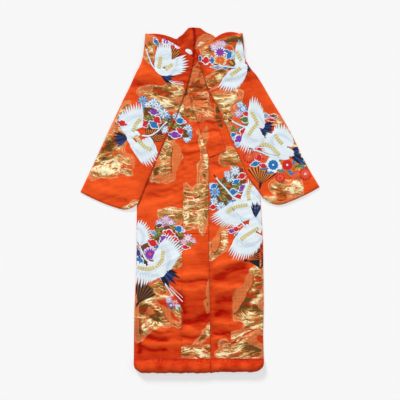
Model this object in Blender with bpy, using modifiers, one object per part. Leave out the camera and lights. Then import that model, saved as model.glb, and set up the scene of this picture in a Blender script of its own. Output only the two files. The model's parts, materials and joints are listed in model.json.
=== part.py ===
"""An uchikake, the padded outer robe of a wedding kimono, laid flat on its back.

Metres, +Z up, +X to the wearer's left, +Y towards the collar, the floor at z = 0. The two
body lengths run from the back hem over the shoulder to the front hem. The right front lies
over the left one, both sleeves are folded in over the fronts and fan out below the armholes,
and a thick padded roll closes the hem. Every cloth is a grid of points on its middle surface,
row by row, thickened by its wall. Neighbours keep SEAM apart, and layers keep LAYER_GAP.
"""

import math

import bmesh
import bpy

GARMENT = "uchikake"

# Driving sizes
WALL = 0.0026  # lined brocade, both cloths together
LAYER_GAP = 0.0008  # air between two cloths that lie on each other
SEAM = 0.0004  # gap between two pieces that are sewn edge to edge
SHOULDER_Y = 0.921  # outer end of the shoulder fold
HEM_SEAM_Y = -0.880  # where the cloth ends and the padded roll starts
ROLL_DEPTH = 0.077  # height of the padded roll, seam to hem
CENTRE_X = -0.006  # centre-back seam
ROW_STEP = 0.054  # height of one row of the body's grid

# Middle surfaces, counted up from the floor
STEP = WALL + LAYER_GAP
BACK_Z = WALL / 2
FRONT_Z = BACK_Z + STEP
OVER_Z = FRONT_Z + STEP
SIDE_Z = BACK_Z + WALL + SEAM

# Outlines. One row per height: y, then x of each edge there. The side edge is the side seam,
# the neck edge carries the collar down to the okumi's point, and the okumi seam follows it.
RIGHT_SIDE = (
    # y, x
    (0.921, -0.285),
    (0.777, -0.300),
    (0.633, -0.330),
    (0.540, -0.346),
    (-0.028, -0.350),
    (-0.361, -0.353),
    (-0.640, -0.365),
    (-0.880, -0.367),
)
LEFT_SIDE = (
    # y, x
    (0.921, 0.220),
    (0.777, 0.238),
    (0.633, 0.292),
    (0.500, 0.316),
    (-0.028, 0.337),
    (-0.250, 0.350),
    (-0.583, 0.354),
    (-0.750, 0.350),
    (-0.880, 0.354),
)
RIGHT_INNER = (
    # y, x: neck edge down to the okumi's point at 0.660, then the okumi seam
    (0.888, -0.128),
    (0.766, -0.122),
    (0.660, -0.090),
    (0.240, -0.091),
    (0.000, -0.094),
    (-0.880, -0.105),
)
LEFT_INNER = (
    # y, x
    (0.900, 0.086),
    (0.766, 0.080),
    (0.660, 0.094),
    (0.272, 0.144),
    (-0.240, 0.158),
    (-0.880, 0.174),
)
RIGHT_OKUMI_EDGE = (
    # y, x: collar seam from the okumi's point, then the front edge
    (0.660, -0.088),
    (0.450, -0.022),
    (0.236, 0.047),
    (-0.270, 0.048),
    (-0.880, 0.059),
)
LEFT_OKUMI_EDGE = (
    # y, x
    (0.660, 0.092),
    (0.236, 0.012),
    (-0.270, 0.011),
    (-0.880, 0.011),
)
# Collar bands, from the peak at the back of the neck to the square end: seam edge, free edge
RIGHT_COLLAR = (
    # seam x, seam y, free x, free y
    (-0.064, 0.953, -0.034, 0.957),
    (-0.094, 0.918, -0.032, 0.922),
    (-0.127, 0.888, -0.031, 0.884),
    (-0.126, 0.832, -0.030, 0.838),
    (-0.121, 0.766, -0.002, 0.772),
    (-0.088, 0.660, 0.028, 0.666),
    (-0.055, 0.555, 0.056, 0.562),
    (-0.021, 0.450, 0.085, 0.462),
    (0.013, 0.343, 0.115, 0.366),
    (0.048, 0.237, 0.144, 0.273),
)
LEFT_COLLAR = (
    # seam x, seam y, free x, free y
    (0.002, 0.953, -0.028, 0.957),
    (0.034, 0.930, -0.029, 0.922),
    (0.085, 0.901, -0.030, 0.884),
    (0.082, 0.832, -0.028, 0.838),
    (0.079, 0.766, -0.026, 0.772),
    (0.092, 0.660, -0.012, 0.666),
    (0.072, 0.555, -0.014, 0.547),
    (0.051, 0.450, -0.016, 0.440),
    (0.031, 0.343, -0.018, 0.336),
    (0.012, 0.237, -0.018, 0.233),
)
NECK_BACK_Y = 0.850  # back neckline at the centre seam
RIGHT_BODY_BOW = 0.012  # how far the shoulder fold stands above its chord
LEFT_BODY_BOW = 0.020

# Sleeves: open outer edge and cuff edge, from the foot up to the shoulder fold
RIGHT_SLEEVE_OUTER = (
    # x, y
    (-0.663, 0.044),
    (-0.592, 0.194),
    (-0.503, 0.389),
    (-0.425, 0.555),
    (-0.384, 0.638),
    (-0.361, 0.690),
    (-0.330, 0.749),
    (-0.317, 0.790),
    (-0.309, 0.849),
    (-0.302, 0.922),
)
RIGHT_SLEEVE_CUFF = (
    # x, y
    (-0.361, -0.069),
    (-0.320, 0.031),
    (-0.295, 0.097),
    (-0.261, 0.175),
    (-0.235, 0.235),
    (-0.187, 0.355),
    (-0.144, 0.433),
    (-0.094, 0.566),
    (-0.055, 0.683),
    (-0.034, 0.785),
)
LEFT_SLEEVE_OUTER = (
    # x, y
    (0.663, 0.072),
    (0.591, 0.194),
    (0.494, 0.389),
    (0.395, 0.555),
    (0.347, 0.638),
    (0.310, 0.694),
    (0.284, 0.722),
    (0.267, 0.749),
    (0.247, 0.788),
    (0.243, 0.849),
    (0.236, 0.924),
)
LEFT_SLEEVE_CUFF = (
    # x, y
    (0.383, -0.044),
    (0.333, 0.039),
    (0.278, 0.111),
    (0.250, 0.167),
    (0.222, 0.233),
    (0.161, 0.372),
    (0.105, 0.505),
    (0.044, 0.622),
    (0.005, 0.738),
    (-0.022, 0.828),
)
SLEEVE_CORNER = 0.085  # radius of the cuff's lower corner
SLEEVE_ROWS = 30
SLEEVE_COLUMNS = 9
FOOT_BOW = 0.014  # how far the sleeve's foot and shoulder fold bow out between their ends
RIGHT_SHOULDER_BOW = 0.025
LEFT_SHOULDER_BOW = 0.015
BOW_FROM = 0.80  # share of the sleeve's length above which its fold bows
COLLAR_LIFT_FROM_Y = 0.52  # the sleeves climb onto the collar above this height
COLLAR_LIFT_OVER = 0.10
DRAPE = 0.066  # width of the slope down to the floor beside the body

# Okumi on top: it climbs from its seam onto the left front, and has one tuck across it
OVERLAP_X = -0.022
OVERLAP_RAMP = 0.058
TUCK_Y = -0.184
TUCK_RISE = 0.0024
TUCK_ROWS = ((0.040, 0.0), (0.006, 1.0), (0.0, 0.1))  # above TUCK_Y, share of the rise

# Soft swells of the fronts below the sleeves
SWELL = 0.0024
SWELL_TOP_Y = -0.06
SWELL_FADE = 0.16
SWELL_LENGTHS = (0.41, 0.27)

# Padded roll. One row per distance from the seam: then the back roll's underside and top,
# and the height that the front roll adds to its top
ROLL_PROFILE = (
    # share of depth, underside, top, front's top
    (0.00, 0.0000, 0.0030, 0.0094),
    (0.10, 0.0000, 0.0115, 0.0265),
    (0.30, 0.0000, 0.0205, 0.0405),
    (0.56, 0.0000, 0.0230, 0.0460),
    (0.80, 0.0000, 0.0200, 0.0420),
    (0.94, 0.0020, 0.0150, 0.0330),
    (1.00, 0.0060, 0.0110, 0.0240),
)
ROLL_GAP = 0.0006
ROLL_STEP = 0.030
CORNER_WIDE = 0.070  # rounded lower corners of the hem
CORNER_HIGH = 0.042
CORNER_STATIONS = (0.004, 0.014, 0.032, 0.056)
ROLL_SHOULDER = 0.040  # length over which a roll's end thins
ROLL_END_SHARE = 0.45
FRONT_EDGE_SHARE = 0.80
LEFT_ROLL_SHORT = 0.006  # the left front ends this much above the right one
FRONT_EDGE_X = RIGHT_OKUMI_EDGE[-1][1]  # where the right front's roll ends on the left one

SILK_ORANGE = (0.78, 0.075, 0.010)
SILK_RED = (0.60, 0.030, 0.004)
LINING_ORANGE = (0.80, 0.085, 0.012)


def clear_scene():
    for item in list(bpy.data.objects):
        bpy.data.objects.remove(item, do_unlink=True)


def garment_collection():
    collection = bpy.data.collections.new(GARMENT)
    bpy.context.scene.collection.children.link(collection)
    return collection


def cloth_material(name, colour, roughness=0.42, metallic=0.15):
    material = bpy.data.materials.new(name)
    material.use_nodes = True
    shader = material.node_tree.nodes["Principled BSDF"]
    shader.inputs["Base Color"].default_value = (*colour, 1.0)
    shader.inputs["Roughness"].default_value = roughness
    shader.inputs["Metallic"].default_value = metallic
    return material


def smooth_step(value):
    value = min(1.0, max(0.0, value))
    return value * value * (3.0 - 2.0 * value)


def edge_x(edge, y):
    """x of an outline at height y; its rows run down from the top."""
    for (y_above, x_above), (y_below, x_below) in zip(edge, edge[1:]):
        if y >= y_below:
            share = min(1.0, (y_above - y) / (y_above - y_below))
            return x_above + (x_below - x_above) * share
    return edge[-1][1]


def along(line, share):
    """Point at a share of a polyline's length."""
    spans = [math.dist(a, b) for a, b in zip(line, line[1:])]
    left = share * sum(spans)
    for (start, end), span in zip(zip(line, line[1:]), spans):
        if left <= span:
            part = left / span
            return tuple(a + (b - a) * part for a, b in zip(start, end))
        left -= span
    return line[-1]


def stations(bottom, top, step=ROW_STEP):
    """Heights from bottom to top on a lattice that every body piece shares."""
    first = math.floor((bottom - HEM_SEAM_Y) / step) + 1
    last = math.ceil((top - HEM_SEAM_Y) / step) - 1
    inner = [HEM_SEAM_Y + index * step for index in range(first, last + 1)]
    return [bottom, *[y for y in inner if bottom + 0.01 < y < top - 0.01], top]


def swell(x, y):
    """How far the fronts stand up between the sleeves and the hem."""
    shorter, longer = SWELL_LENGTHS[1], SWELL_LENGTHS[0]
    wave = math.sin(2 * math.pi * (y + 0.10 * x) / longer)
    ripple = math.sin(2 * math.pi * (y - 0.22 * x) / shorter + 1.1)
    fade = smooth_step((SWELL_TOP_Y - y) / SWELL_FADE)
    fade *= smooth_step((y - HEM_SEAM_Y) / SWELL_FADE)
    return SWELL * fade * (0.5 + 0.3 * wave + 0.2 * ripple)


def finish(name, mesh, material, collection):
    item = bpy.data.objects.new(name, mesh)
    item.data.materials.append(material)
    collection.objects.link(item)
    for polygon in mesh.polygons:
        polygon.use_smooth = True
    mesh.set_sharp_from_angle(angle=math.radians(40))
    return item


def grid_mesh(name, rows):
    """An open grid whose points are given row by row."""
    grid = bmesh.new()
    bmesh.ops.create_grid(grid, x_segments=len(rows[0]) - 1, y_segments=len(rows) - 1, size=0.5)
    points = [point for row in rows for point in row]
    for vertex, point in zip(grid.verts, points):
        vertex.co = point
    return grid, bpy.data.meshes.new(name)


def sheet(name, rows, material, collection, wall=WALL):
    """One cloth: its middle surface, thickened to both sides."""
    grid, mesh = grid_mesh(name, rows)
    grid.to_mesh(mesh)
    grid.free()
    item = finish(name, mesh, material, collection)
    solid = item.modifiers.new("wall", "SOLIDIFY")
    solid.thickness = wall
    solid.offset = 0.0
    solid.use_even_offset = True
    return item


def across(y_side, x_side, y_inner, x_inner, shares, level):
    """One row of a panel from its side edge to its inner edge; level gives z."""
    row = []
    for share in shares:
        x = x_side + (x_inner - x_side) * share
        y = y_side + (y_inner - y_side) * share
        row.append((x, y, level(x, y, share)))
    return row


def body_length(name, side, inner, towards_centre, bow, material, collection):
    """One length of cloth: up the back, over the shoulder fold and down the front."""
    shares = (0.0, 0.08, 0.31, 0.54, 0.77, 1.0)
    fold = (FRONT_Z - BACK_Z) / 2
    centre = CENTRE_X - towards_centre * SEAM / 2
    top_side, top_inner = SHOULDER_Y - fold, inner[0][0] - fold
    side_x, neck_x = side[0][1], inner[0][1]

    def back_level(x, y, share):
        return BACK_Z

    def front_level(x, y, share):
        rise = smooth_step(share / 0.08)
        return SIDE_Z + (FRONT_Z - SIDE_Z) * rise + swell(x, y) * rise

    rows = []
    heights = stations(HEM_SEAM_Y + SEAM, NECK_BACK_Y)
    for y in heights:
        rows.append(across(y, edge_x(side, y), y, centre, shares, back_level))
    shoulder = across(top_side, side_x, top_inner, neck_x, shares, back_level)
    shoulder = [
        (x, y + bow * 4 * share * (1 - share), z) for (x, y, z), share in zip(shoulder, shares)
    ]
    rows.append(shoulder)
    for turn in (45, 90, 135):
        reach = fold * math.sin(math.radians(turn))
        height = fold * (1 - math.cos(math.radians(turn)))
        rows.append([(x, y + reach, z + height) for x, y, z in shoulder])
    rows.append([(x, y, z + 2 * fold) for x, y, z in shoulder])
    for y in reversed(heights):
        inner_x = edge_x(inner, y) - towards_centre * SEAM / 2
        rows.append(across(y, edge_x(side, y), y, inner_x, shares, front_level))
    return sheet(name, rows, material, collection)


def okumi(name, seam, edge, towards_centre, level, extra_rows, material, collection):
    """The narrow front panel between the body length and the front edge."""
    shares = (0.0, 0.35, 0.7, 1.0)
    top = edge[0][0] - 0.012
    heights = [*stations(HEM_SEAM_Y + SEAM, top), *extra_rows]
    rows = []
    for y in sorted(heights):
        seam_x = edge_x(seam, y) + towards_centre * SEAM / 2
        free_x = edge_x(edge, y) - towards_centre * SEAM
        rows.append(across(y, seam_x, y, free_x, shares, level))
    return sheet(name, rows, material, collection)


def under_level(x, y, share):
    return FRONT_Z + swell(x, y)


def over_level(x, y, share):
    """On the left front near the free edge, down on the back at the seam."""
    climb = smooth_step((x - OVERLAP_X + OVERLAP_RAMP) / OVERLAP_RAMP)
    tuck = 0.0
    for (above, part), (next_above, next_part) in zip(TUCK_ROWS, TUCK_ROWS[1:]):
        if next_above <= y - TUCK_Y <= above:
            share_down = (above - (y - TUCK_Y)) / (above - next_above)
            tuck = TUCK_RISE * (part + (next_part - part) * share_down)
    return FRONT_Z + STEP * climb + swell(x, y) + tuck


def collar(name, band, level, material, collection):
    """A band from the back of the neck to its square end; the seam edge is the first one."""
    shares = (0.0, 0.33, 0.67, 1.0)
    rows = []
    for seam_x, seam_y, free_x, free_y in band:
        inset = SEAM / abs(free_x - seam_x)
        fitted = [inset + (1 - 2 * inset) * share for share in shares]
        rows.append(across(seam_y, seam_x, free_y, free_x, fitted, lambda x, y, share: level))
    return sheet(name, rows, material, collection)


def round_corner(off_cuff, off_foot):
    """Distances from the cuff edge and the foot, moved so the corner is an arc."""
    if off_cuff >= SLEEVE_CORNER or off_foot >= SLEEVE_CORNER:
        return off_cuff, off_foot
    p = 1 - off_cuff / SLEEVE_CORNER
    q = 1 - off_foot / SLEEVE_CORNER
    pull = max(p, q) / math.hypot(p, q)
    return SLEEVE_CORNER * (1 - p * pull), SLEEVE_CORNER * (1 - q * pull)


def resting_height(x, y, side, away):
    """Underside of a cloth that lies over the fronts and down to the floor beside them."""
    on_body = FRONT_Z + WALL / 2 + LAYER_GAP
    on_body += STEP * smooth_step((y - COLLAR_LIFT_FROM_Y) / COLLAR_LIFT_OVER)
    inside = (edge_x(side, y) - x) * away
    return on_body * smooth_step((inside + DRAPE) / DRAPE)


def sleeve(name, outer, cuff, side, away, shoulder_bow, material, collection):
    """One length folded at the shoulder: up the lower layer, over the fold, down the upper."""
    width = math.dist(outer[0], cuff[0])
    length = math.dist(outer[0], outer[-1])
    fold = STEP / 2

    def point(share_across, share_up, lift):
        off_cuff, off_foot = round_corner(width * (1 - share_across), length * share_up)
        share_across = 1 - off_cuff / width
        share_up = off_foot / length
        start = along(outer, share_up)
        end = along(cuff, share_up)
        x = start[0] + (end[0] - start[0]) * share_across
        y = start[1] + (end[1] - start[1]) * share_across
        bow = shoulder_bow * smooth_step((share_up - BOW_FROM) / (1 - BOW_FROM))
        bow -= FOOT_BOW * smooth_step(1 - share_up / (1 - BOW_FROM))
        y += bow * 4 * share_across * (1 - share_across)
        return x, y, resting_height(x, y, side, away) + WALL / 2 + lift

    shares = [index / SLEEVE_COLUMNS for index in range(SLEEVE_COLUMNS + 1)]
    ups = [index / SLEEVE_ROWS for index in range(SLEEVE_ROWS + 1)]
    last = 1 - 1.5 * fold / length
    rows = [[point(share, min(up, last), 0.0) for share in shares] for up in ups]
    for turn in (45, 90, 135):
        reach = fold * math.sin(math.radians(turn))
        lift = fold * (1 - math.cos(math.radians(turn)))
        rows.append([(x, y + reach, z + lift) for x, y, z in rows[SLEEVE_ROWS]])
    rows += [[(x, y, z + STEP) for x, y, z in row] for row in reversed(rows[: SLEEVE_ROWS + 1])]
    return sheet(name, rows, material, collection)


def hem_corner(distance):
    """How far the hem is raised at this distance from the side."""
    if distance >= CORNER_WIDE:
        return 0.0
    return CORNER_HIGH * (1 - math.sqrt(1 - (1 - distance / CORNER_WIDE) ** 2))


def end_share(distance, least):
    """Thickness of a roll near its end, as a share of its full thickness."""
    if distance >= ROLL_SHOULDER:
        return 1.0
    return least + (1 - least) * math.sqrt(1 - (1 - distance / ROLL_SHOULDER) ** 2)


def roll_stations(start, end):
    """x of the sections from start to end, on one lattice for all the rolls."""
    right_end, left_end = RIGHT_SIDE[-1][1], LEFT_SIDE[-1][1]
    spans = ((right_end, FRONT_EDGE_X), (FRONT_EDGE_X, left_end))
    lattice = []
    for span_start, span_end in spans:
        count = round((span_end - span_start) / ROLL_STEP)
        lattice += [span_start + (span_end - span_start) * index / count for index in range(count)]
    lattice = [x for x in lattice if right_end + CORNER_WIDE < x < left_end - CORNER_WIDE]
    lattice += [right_end + offset for offset in CORNER_STATIONS]
    lattice += [left_end - offset for offset in CORNER_STATIONS]
    return [start, *[x for x in sorted(lattice) if start + SEAM < x < end - SEAM], end]


def hem_roll(name, start, end, front, material, collection):
    """A padded roll from x start to x end, on the floor or, in front, on the back roll."""
    top_rows, under_rows = [], []
    for x in roll_stations(start, end):
        to_side = max(0.0, min(x - RIGHT_SIDE[-1][1], LEFT_SIDE[-1][1] - x))
        short = LEFT_ROLL_SHORT * min(1.0, max(0.0, (x - FRONT_EDGE_X) / ROLL_STEP))
        depth = ROLL_DEPTH - short - hem_corner(to_side)
        lower = end_share(to_side, ROLL_END_SHARE)
        upper = min(lower, end_share(abs(FRONT_EDGE_X - x), FRONT_EDGE_SHARE))
        tops, unders = [], []
        for share, underside, back_top, front_top in ROLL_PROFILE:
            y = HEM_SEAM_Y - depth * share
            base = back_top * lower
            tops.append((x, y, front_top * upper + ROLL_GAP if front else base))
            unders.append((x, y, base + ROLL_GAP if front else underside * lower))
        top_rows.append(tops)
        under_rows.append(unders)
    grid, mesh = grid_mesh(name, under_rows)
    made = bmesh.ops.extrude_face_region(grid, geom=grid.faces[:], use_keep_orig=True)
    raised = [item for item in made["geom"] if isinstance(item, bmesh.types.BMVert)]
    lift = {}
    for unders, tops in zip(under_rows, top_rows):
        lift.update(zip(unders, tops))
    for vertex in raised:
        under = min(lift, key=lambda point: math.dist(point, vertex.co))
        vertex.co = lift[under]
    bmesh.ops.recalc_face_normals(grid, faces=grid.faces[:])
    grid.to_mesh(mesh)
    grid.free()
    return finish(name, mesh, material, collection)


def build():
    clear_scene()
    collection = garment_collection()
    brocade = cloth_material("silk_brocade", SILK_ORANGE)
    collar_silk = cloth_material("collar_silk", SILK_RED)
    padding_silk = cloth_material("hem_silk", LINING_ORANGE, roughness=0.5, metallic=0.0)

    body_length("body_right", RIGHT_SIDE, RIGHT_INNER, 1, RIGHT_BODY_BOW, brocade, collection)
    body_length("body_left", LEFT_SIDE, LEFT_INNER, -1, LEFT_BODY_BOW, brocade, collection)

    tuck_rows = [TUCK_Y + above for above, _ in TUCK_ROWS]
    okumi("okumi_right", RIGHT_INNER, RIGHT_OKUMI_EDGE, 1, over_level, tuck_rows, brocade, collection)
    okumi("okumi_left", LEFT_INNER, LEFT_OKUMI_EDGE, -1, under_level, [], brocade, collection)

    collar("collar_right", RIGHT_COLLAR, OVER_Z, collar_silk, collection)
    collar("collar_left", LEFT_COLLAR, FRONT_Z, collar_silk, collection)

    right_edges = (RIGHT_SLEEVE_OUTER, RIGHT_SLEEVE_CUFF, RIGHT_SIDE)
    left_edges = (LEFT_SLEEVE_OUTER, LEFT_SLEEVE_CUFF, LEFT_SIDE)
    sleeve("sleeve_right", *right_edges, -1, RIGHT_SHOULDER_BOW, brocade, collection)
    sleeve("sleeve_left", *left_edges, 1, LEFT_SHOULDER_BOW, brocade, collection)

    right_end, left_end = RIGHT_SIDE[-1][1], LEFT_SIDE[-1][1]
    hem_roll("hem_roll_back", right_end, left_end, False, padding_silk, collection)
    hem_roll("hem_roll_right", right_end, FRONT_EDGE_X, True, padding_silk, collection)
    hem_roll("hem_roll_left", FRONT_EDGE_X + SEAM, left_end, True, padding_silk, collection)


if __name__ == "__main__":
    build()
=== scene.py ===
"""Dresses the uchikake: silk shells with creases, woven gold clouds, embroidery, hem rolls and stage.

Metres, +Z up, +X to the wearer's left, +Y towards the collar. The robe lies on its back on the
floor at z = 0. Woven and embroidered figures are placed on a layout chart of small squares,
counted from the middle of the robe: columns to the wearer's left, rows towards the collar.
"""

import json
import math

import bmesh
import bpy
import numpy as np
from bpy.props import FloatProperty, FloatVectorProperty, PointerProperty
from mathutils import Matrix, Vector

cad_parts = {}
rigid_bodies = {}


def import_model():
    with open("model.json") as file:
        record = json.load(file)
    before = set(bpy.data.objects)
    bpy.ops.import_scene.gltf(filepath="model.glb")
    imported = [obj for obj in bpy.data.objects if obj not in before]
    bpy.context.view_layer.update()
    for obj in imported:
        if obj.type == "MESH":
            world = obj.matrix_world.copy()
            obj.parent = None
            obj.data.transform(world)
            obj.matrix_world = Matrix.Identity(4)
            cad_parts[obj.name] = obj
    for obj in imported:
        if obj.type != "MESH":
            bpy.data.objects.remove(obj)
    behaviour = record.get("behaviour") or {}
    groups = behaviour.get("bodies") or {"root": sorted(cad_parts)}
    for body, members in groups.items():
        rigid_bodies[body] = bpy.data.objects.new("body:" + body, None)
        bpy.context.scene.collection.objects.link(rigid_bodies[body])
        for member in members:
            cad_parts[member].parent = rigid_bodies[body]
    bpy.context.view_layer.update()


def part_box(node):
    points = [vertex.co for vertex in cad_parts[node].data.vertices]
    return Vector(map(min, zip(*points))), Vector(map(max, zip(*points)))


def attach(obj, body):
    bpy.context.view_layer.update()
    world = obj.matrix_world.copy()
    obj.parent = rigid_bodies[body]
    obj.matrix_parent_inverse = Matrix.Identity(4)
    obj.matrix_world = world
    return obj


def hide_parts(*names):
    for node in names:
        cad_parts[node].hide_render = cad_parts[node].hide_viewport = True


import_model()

bl_info = {
    "name": "Uchikake",
    "version": (1, 0, 0),
    "blender": (4, 5, 0),
    "location": "View3D > Sidebar > Uchikake",
    "description": "A padded wedding robe of silk brocade, laid flat",
    "category": "Object",
}

SQUARE = 0.00555  # side of one square of the layout chart
CHART_WIDE = 400  # squares that the camera takes in
SEAM = 0.0004  # gap between two pieces that are sewn edge to edge
CLOTH_GAP = 0.0008  # air under a cloth that lies on another

# Levels, from the frame: middle surfaces of the cloths, and the wall of a lined cloth
UNDER_COLLAR_LOW, UNDER_COLLAR_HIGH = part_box("collar_left")
OVER_COLLAR_LOW, OVER_COLLAR_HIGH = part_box("collar_right")
WALL = UNDER_COLLAR_HIGH.z - UNDER_COLLAR_LOW.z
FRONT_Z = (UNDER_COLLAR_HIGH.z + UNDER_COLLAR_LOW.z) / 2
OVER_Z = (OVER_COLLAR_HIGH.z + OVER_COLLAR_LOW.z) / 2
STEP = OVER_Z - FRONT_Z
BACK_Z = WALL / 2
SIDE_Z = BACK_Z + WALL + SEAM

ROLL_LOW, ROLL_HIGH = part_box("hem_roll_back")
HEM_SEAM_Y = ROLL_HIGH.y
ROLL_DEPTH = ROLL_HIGH.y - ROLL_LOW.y
FRONT_EDGE_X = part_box("hem_roll_right")[1].x
CENTRE_X = (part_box("body_right")[1].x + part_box("body_left")[0].x) / 2
NECK_BACK_Y = 0.850
SHOULDER_Y = 0.921

# Outlines, row by row from the top
RIGHT_SIDE = (
    # y, x
    (0.921, -0.285), (0.777, -0.300), (0.633, -0.330), (0.540, -0.346), (-0.028, -0.350), (-0.361, -0.353),
    (-0.640, -0.365), (-0.880, -0.367),
)
LEFT_SIDE = (
    # y, x
    (0.921, 0.220), (0.777, 0.238), (0.633, 0.292), (0.500, 0.316), (-0.028, 0.337), (-0.250, 0.350),
    (-0.583, 0.354), (-0.750, 0.350), (-0.880, 0.354),
)
RIGHT_INNER = (
    # y, x: neck edge, then the okumi seam
    (0.888, -0.128), (0.766, -0.122), (0.660, -0.090), (0.240, -0.091), (0.000, -0.094), (-0.880, -0.105),
)
LEFT_INNER = (
    # y, x
    (0.900, 0.086), (0.766, 0.080), (0.660, 0.094), (0.272, 0.144), (-0.240, 0.158), (-0.880, 0.174),
)
RIGHT_OKUMI_EDGE = (
    # y, x: collar seam, then the front edge
    (0.660, -0.088), (0.450, -0.022), (0.236, 0.047), (-0.270, 0.048), (-0.880, 0.059),
)
LEFT_OKUMI_EDGE = (
    # y, x
    (0.660, 0.092), (0.236, 0.012), (-0.270, 0.011), (-0.880, 0.011),
)
RIGHT_COLLAR = (
    # seam x, seam y, free x, free y
    (-0.064, 0.953, -0.034, 0.957), (-0.094, 0.918, -0.032, 0.922), (-0.127, 0.888, -0.031, 0.884),
    (-0.126, 0.832, -0.030, 0.838), (-0.121, 0.766, -0.002, 0.772), (-0.088, 0.660, 0.028, 0.666),
    (-0.055, 0.555, 0.056, 0.562), (-0.021, 0.450, 0.085, 0.462), (0.013, 0.343, 0.115, 0.366),
    (0.048, 0.237, 0.144, 0.273),
)
LEFT_COLLAR = (
    # seam x, seam y, free x, free y
    (0.002, 0.953, -0.040, 0.957), (0.034, 0.930, -0.045, 0.922), (0.085, 0.901, -0.046, 0.884),
    (0.082, 0.832, -0.044, 0.838), (0.079, 0.766, -0.034, 0.772), (0.092, 0.660, -0.012, 0.666),
    (0.072, 0.555, -0.014, 0.547), (0.051, 0.450, -0.016, 0.440), (0.031, 0.343, -0.018, 0.336),
    (0.012, 0.237, -0.018, 0.233),
)
RIGHT_SLEEVE_OUTER = (
    # x, y, from the foot up
    (-0.663, 0.044), (-0.592, 0.194), (-0.503, 0.389), (-0.425, 0.555), (-0.384, 0.638), (-0.361, 0.690),
    (-0.330, 0.749), (-0.317, 0.790), (-0.309, 0.849), (-0.302, 0.922),
)
RIGHT_SLEEVE_CUFF = (
    # x, y
    (-0.361, -0.069), (-0.320, 0.031), (-0.295, 0.097), (-0.261, 0.175), (-0.235, 0.235), (-0.187, 0.355),
    (-0.144, 0.433), (-0.094, 0.566), (-0.055, 0.683), (-0.034, 0.785),
)
LEFT_SLEEVE_OUTER = (
    # x, y
    (0.663, 0.072), (0.591, 0.194), (0.494, 0.389), (0.395, 0.555), (0.347, 0.638), (0.310, 0.694),
    (0.284, 0.722), (0.267, 0.749), (0.247, 0.788), (0.243, 0.849), (0.236, 0.924),
)
LEFT_SLEEVE_CUFF = (
    # x, y
    (0.383, -0.044), (0.333, 0.039), (0.278, 0.111), (0.250, 0.167), (0.222, 0.233), (0.161, 0.372),
    (0.105, 0.505), (0.044, 0.622), (0.005, 0.738), (-0.022, 0.828),
)
SLEEVE_CORNER = 0.085  # radius of the cuff's lower corner
FOOT_BOW = 0.014  # how far a sleeve's foot bows out between its ends
BOW_FROM = 0.80  # share of a sleeve's length above which its fold bows
DRAPE = 0.066  # width of the slope down to the floor beside the body
COLLAR_LIFT_FROM_Y = 0.52  # the sleeves climb onto the collar above this height
COLLAR_LIFT_OVER = 0.10
OVERLAP_X = -0.022  # the right okumi climbs onto the left front up to here
OVERLAP_RAMP = 0.058
TUCK_Y = -0.184
TUCK_HIGH = 0.0032
TUCK_LONG = 0.045  # length over which the tuck sinks back above its edge

# Rows of points: backs, fronts, okumi, collars, and the lower and upper layer of a sleeve
BACK_ROWS, FRONT_ROWS, OKUMI_ROWS, COLLAR_ROWS = 40, 262, 250, 150
LOWER_SLEEVE_ROWS, SLEEVE_ROWS = 26, 158

# Padded roll: share of its depth, underside, top, and the front roll's top
ROLL_PROFILE = (
    (0.00, 0.0000, 0.0030, 0.0094), (0.04, 0.0000, 0.0065, 0.0165), (0.10, 0.0000, 0.0118, 0.0265),
    (0.20, 0.0000, 0.0170, 0.0350), (0.30, 0.0000, 0.0205, 0.0405), (0.43, 0.0000, 0.0226, 0.0446),
    (0.56, 0.0000, 0.0230, 0.0460), (0.68, 0.0000, 0.0221, 0.0449), (0.80, 0.0000, 0.0200, 0.0415),
    (0.88, 0.0006, 0.0178, 0.0375), (0.94, 0.0020, 0.0150, 0.0330), (0.98, 0.0040, 0.0128, 0.0275),
    (1.00, 0.0060, 0.0110, 0.0225),
)
CORNER_WIDE = 0.070  # rounded lower corners of the hem
CORNER_HIGH = 0.042
LEFT_ROLL_SHORT = 0.006  # the left front ends this much above the right one
ROLL_POINT_STEP = 0.0045
ROLL_END = 0.040  # length over which a roll's end thins

# Creases, one by one: start column, row, end column, row, half width and height
CREASE_HEIGHT = 0.0026  # metres for each unit of a crease's height
CREASE_WIDTH = 0.0021  # metres for each unit of its half width
SLEEVE_RIGHT_CREASES = (
    (-58, 128, -22, 116, 9, 1.8), (-52, 112, -18, 104, 6, -1.5), (-62, 96, -30, 94, 12, 1.4),
    (-46, 100, -14, 112, 5, 1.2), (-40, 88, -20, 96, 5, -1.2), (-92, 60, -74, 44, 7, 1.8),
    (-102, 44, -84, 34, 6, -1.5), (-108, 30, -80, 26, 9, 1.6), (-84, 30, -66, 44, 6, 1.5),
    (-112, 14, -64, 4, 14, 1.3), (-98, 4, -70, -2, 9, -1.2), (-90, 18, -58, 16, 10, 0.9),
    (-74, 122, -46, 106, 12, -1.6), (-60, 150, -60, 120, 16, 1.4),
)
SLEEVE_LEFT_CREASES = (
    (6, 128, 40, 136, 9, 1.5), (8, 112, 38, 120, 7, -1.5), (12, 100, 44, 102, 6, 1.5),
    (20, 92, 40, 108, 5, 1.4), (62, 118, 82, 92, 10, 1.4), (44, 124, 66, 118, 10, -1.6),
    (28, 84, 44, 70, 6, -1.2), (78, 24, 104, 10, 7, 1.8), (70, 8, 96, 22, 5, -1.6),
    (84, 4, 100, 26, 5, 1.6), (64, 2, 92, 2, 8, 1.2), (96, 40, 112, 18, 9, 1.2),
)
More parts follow.
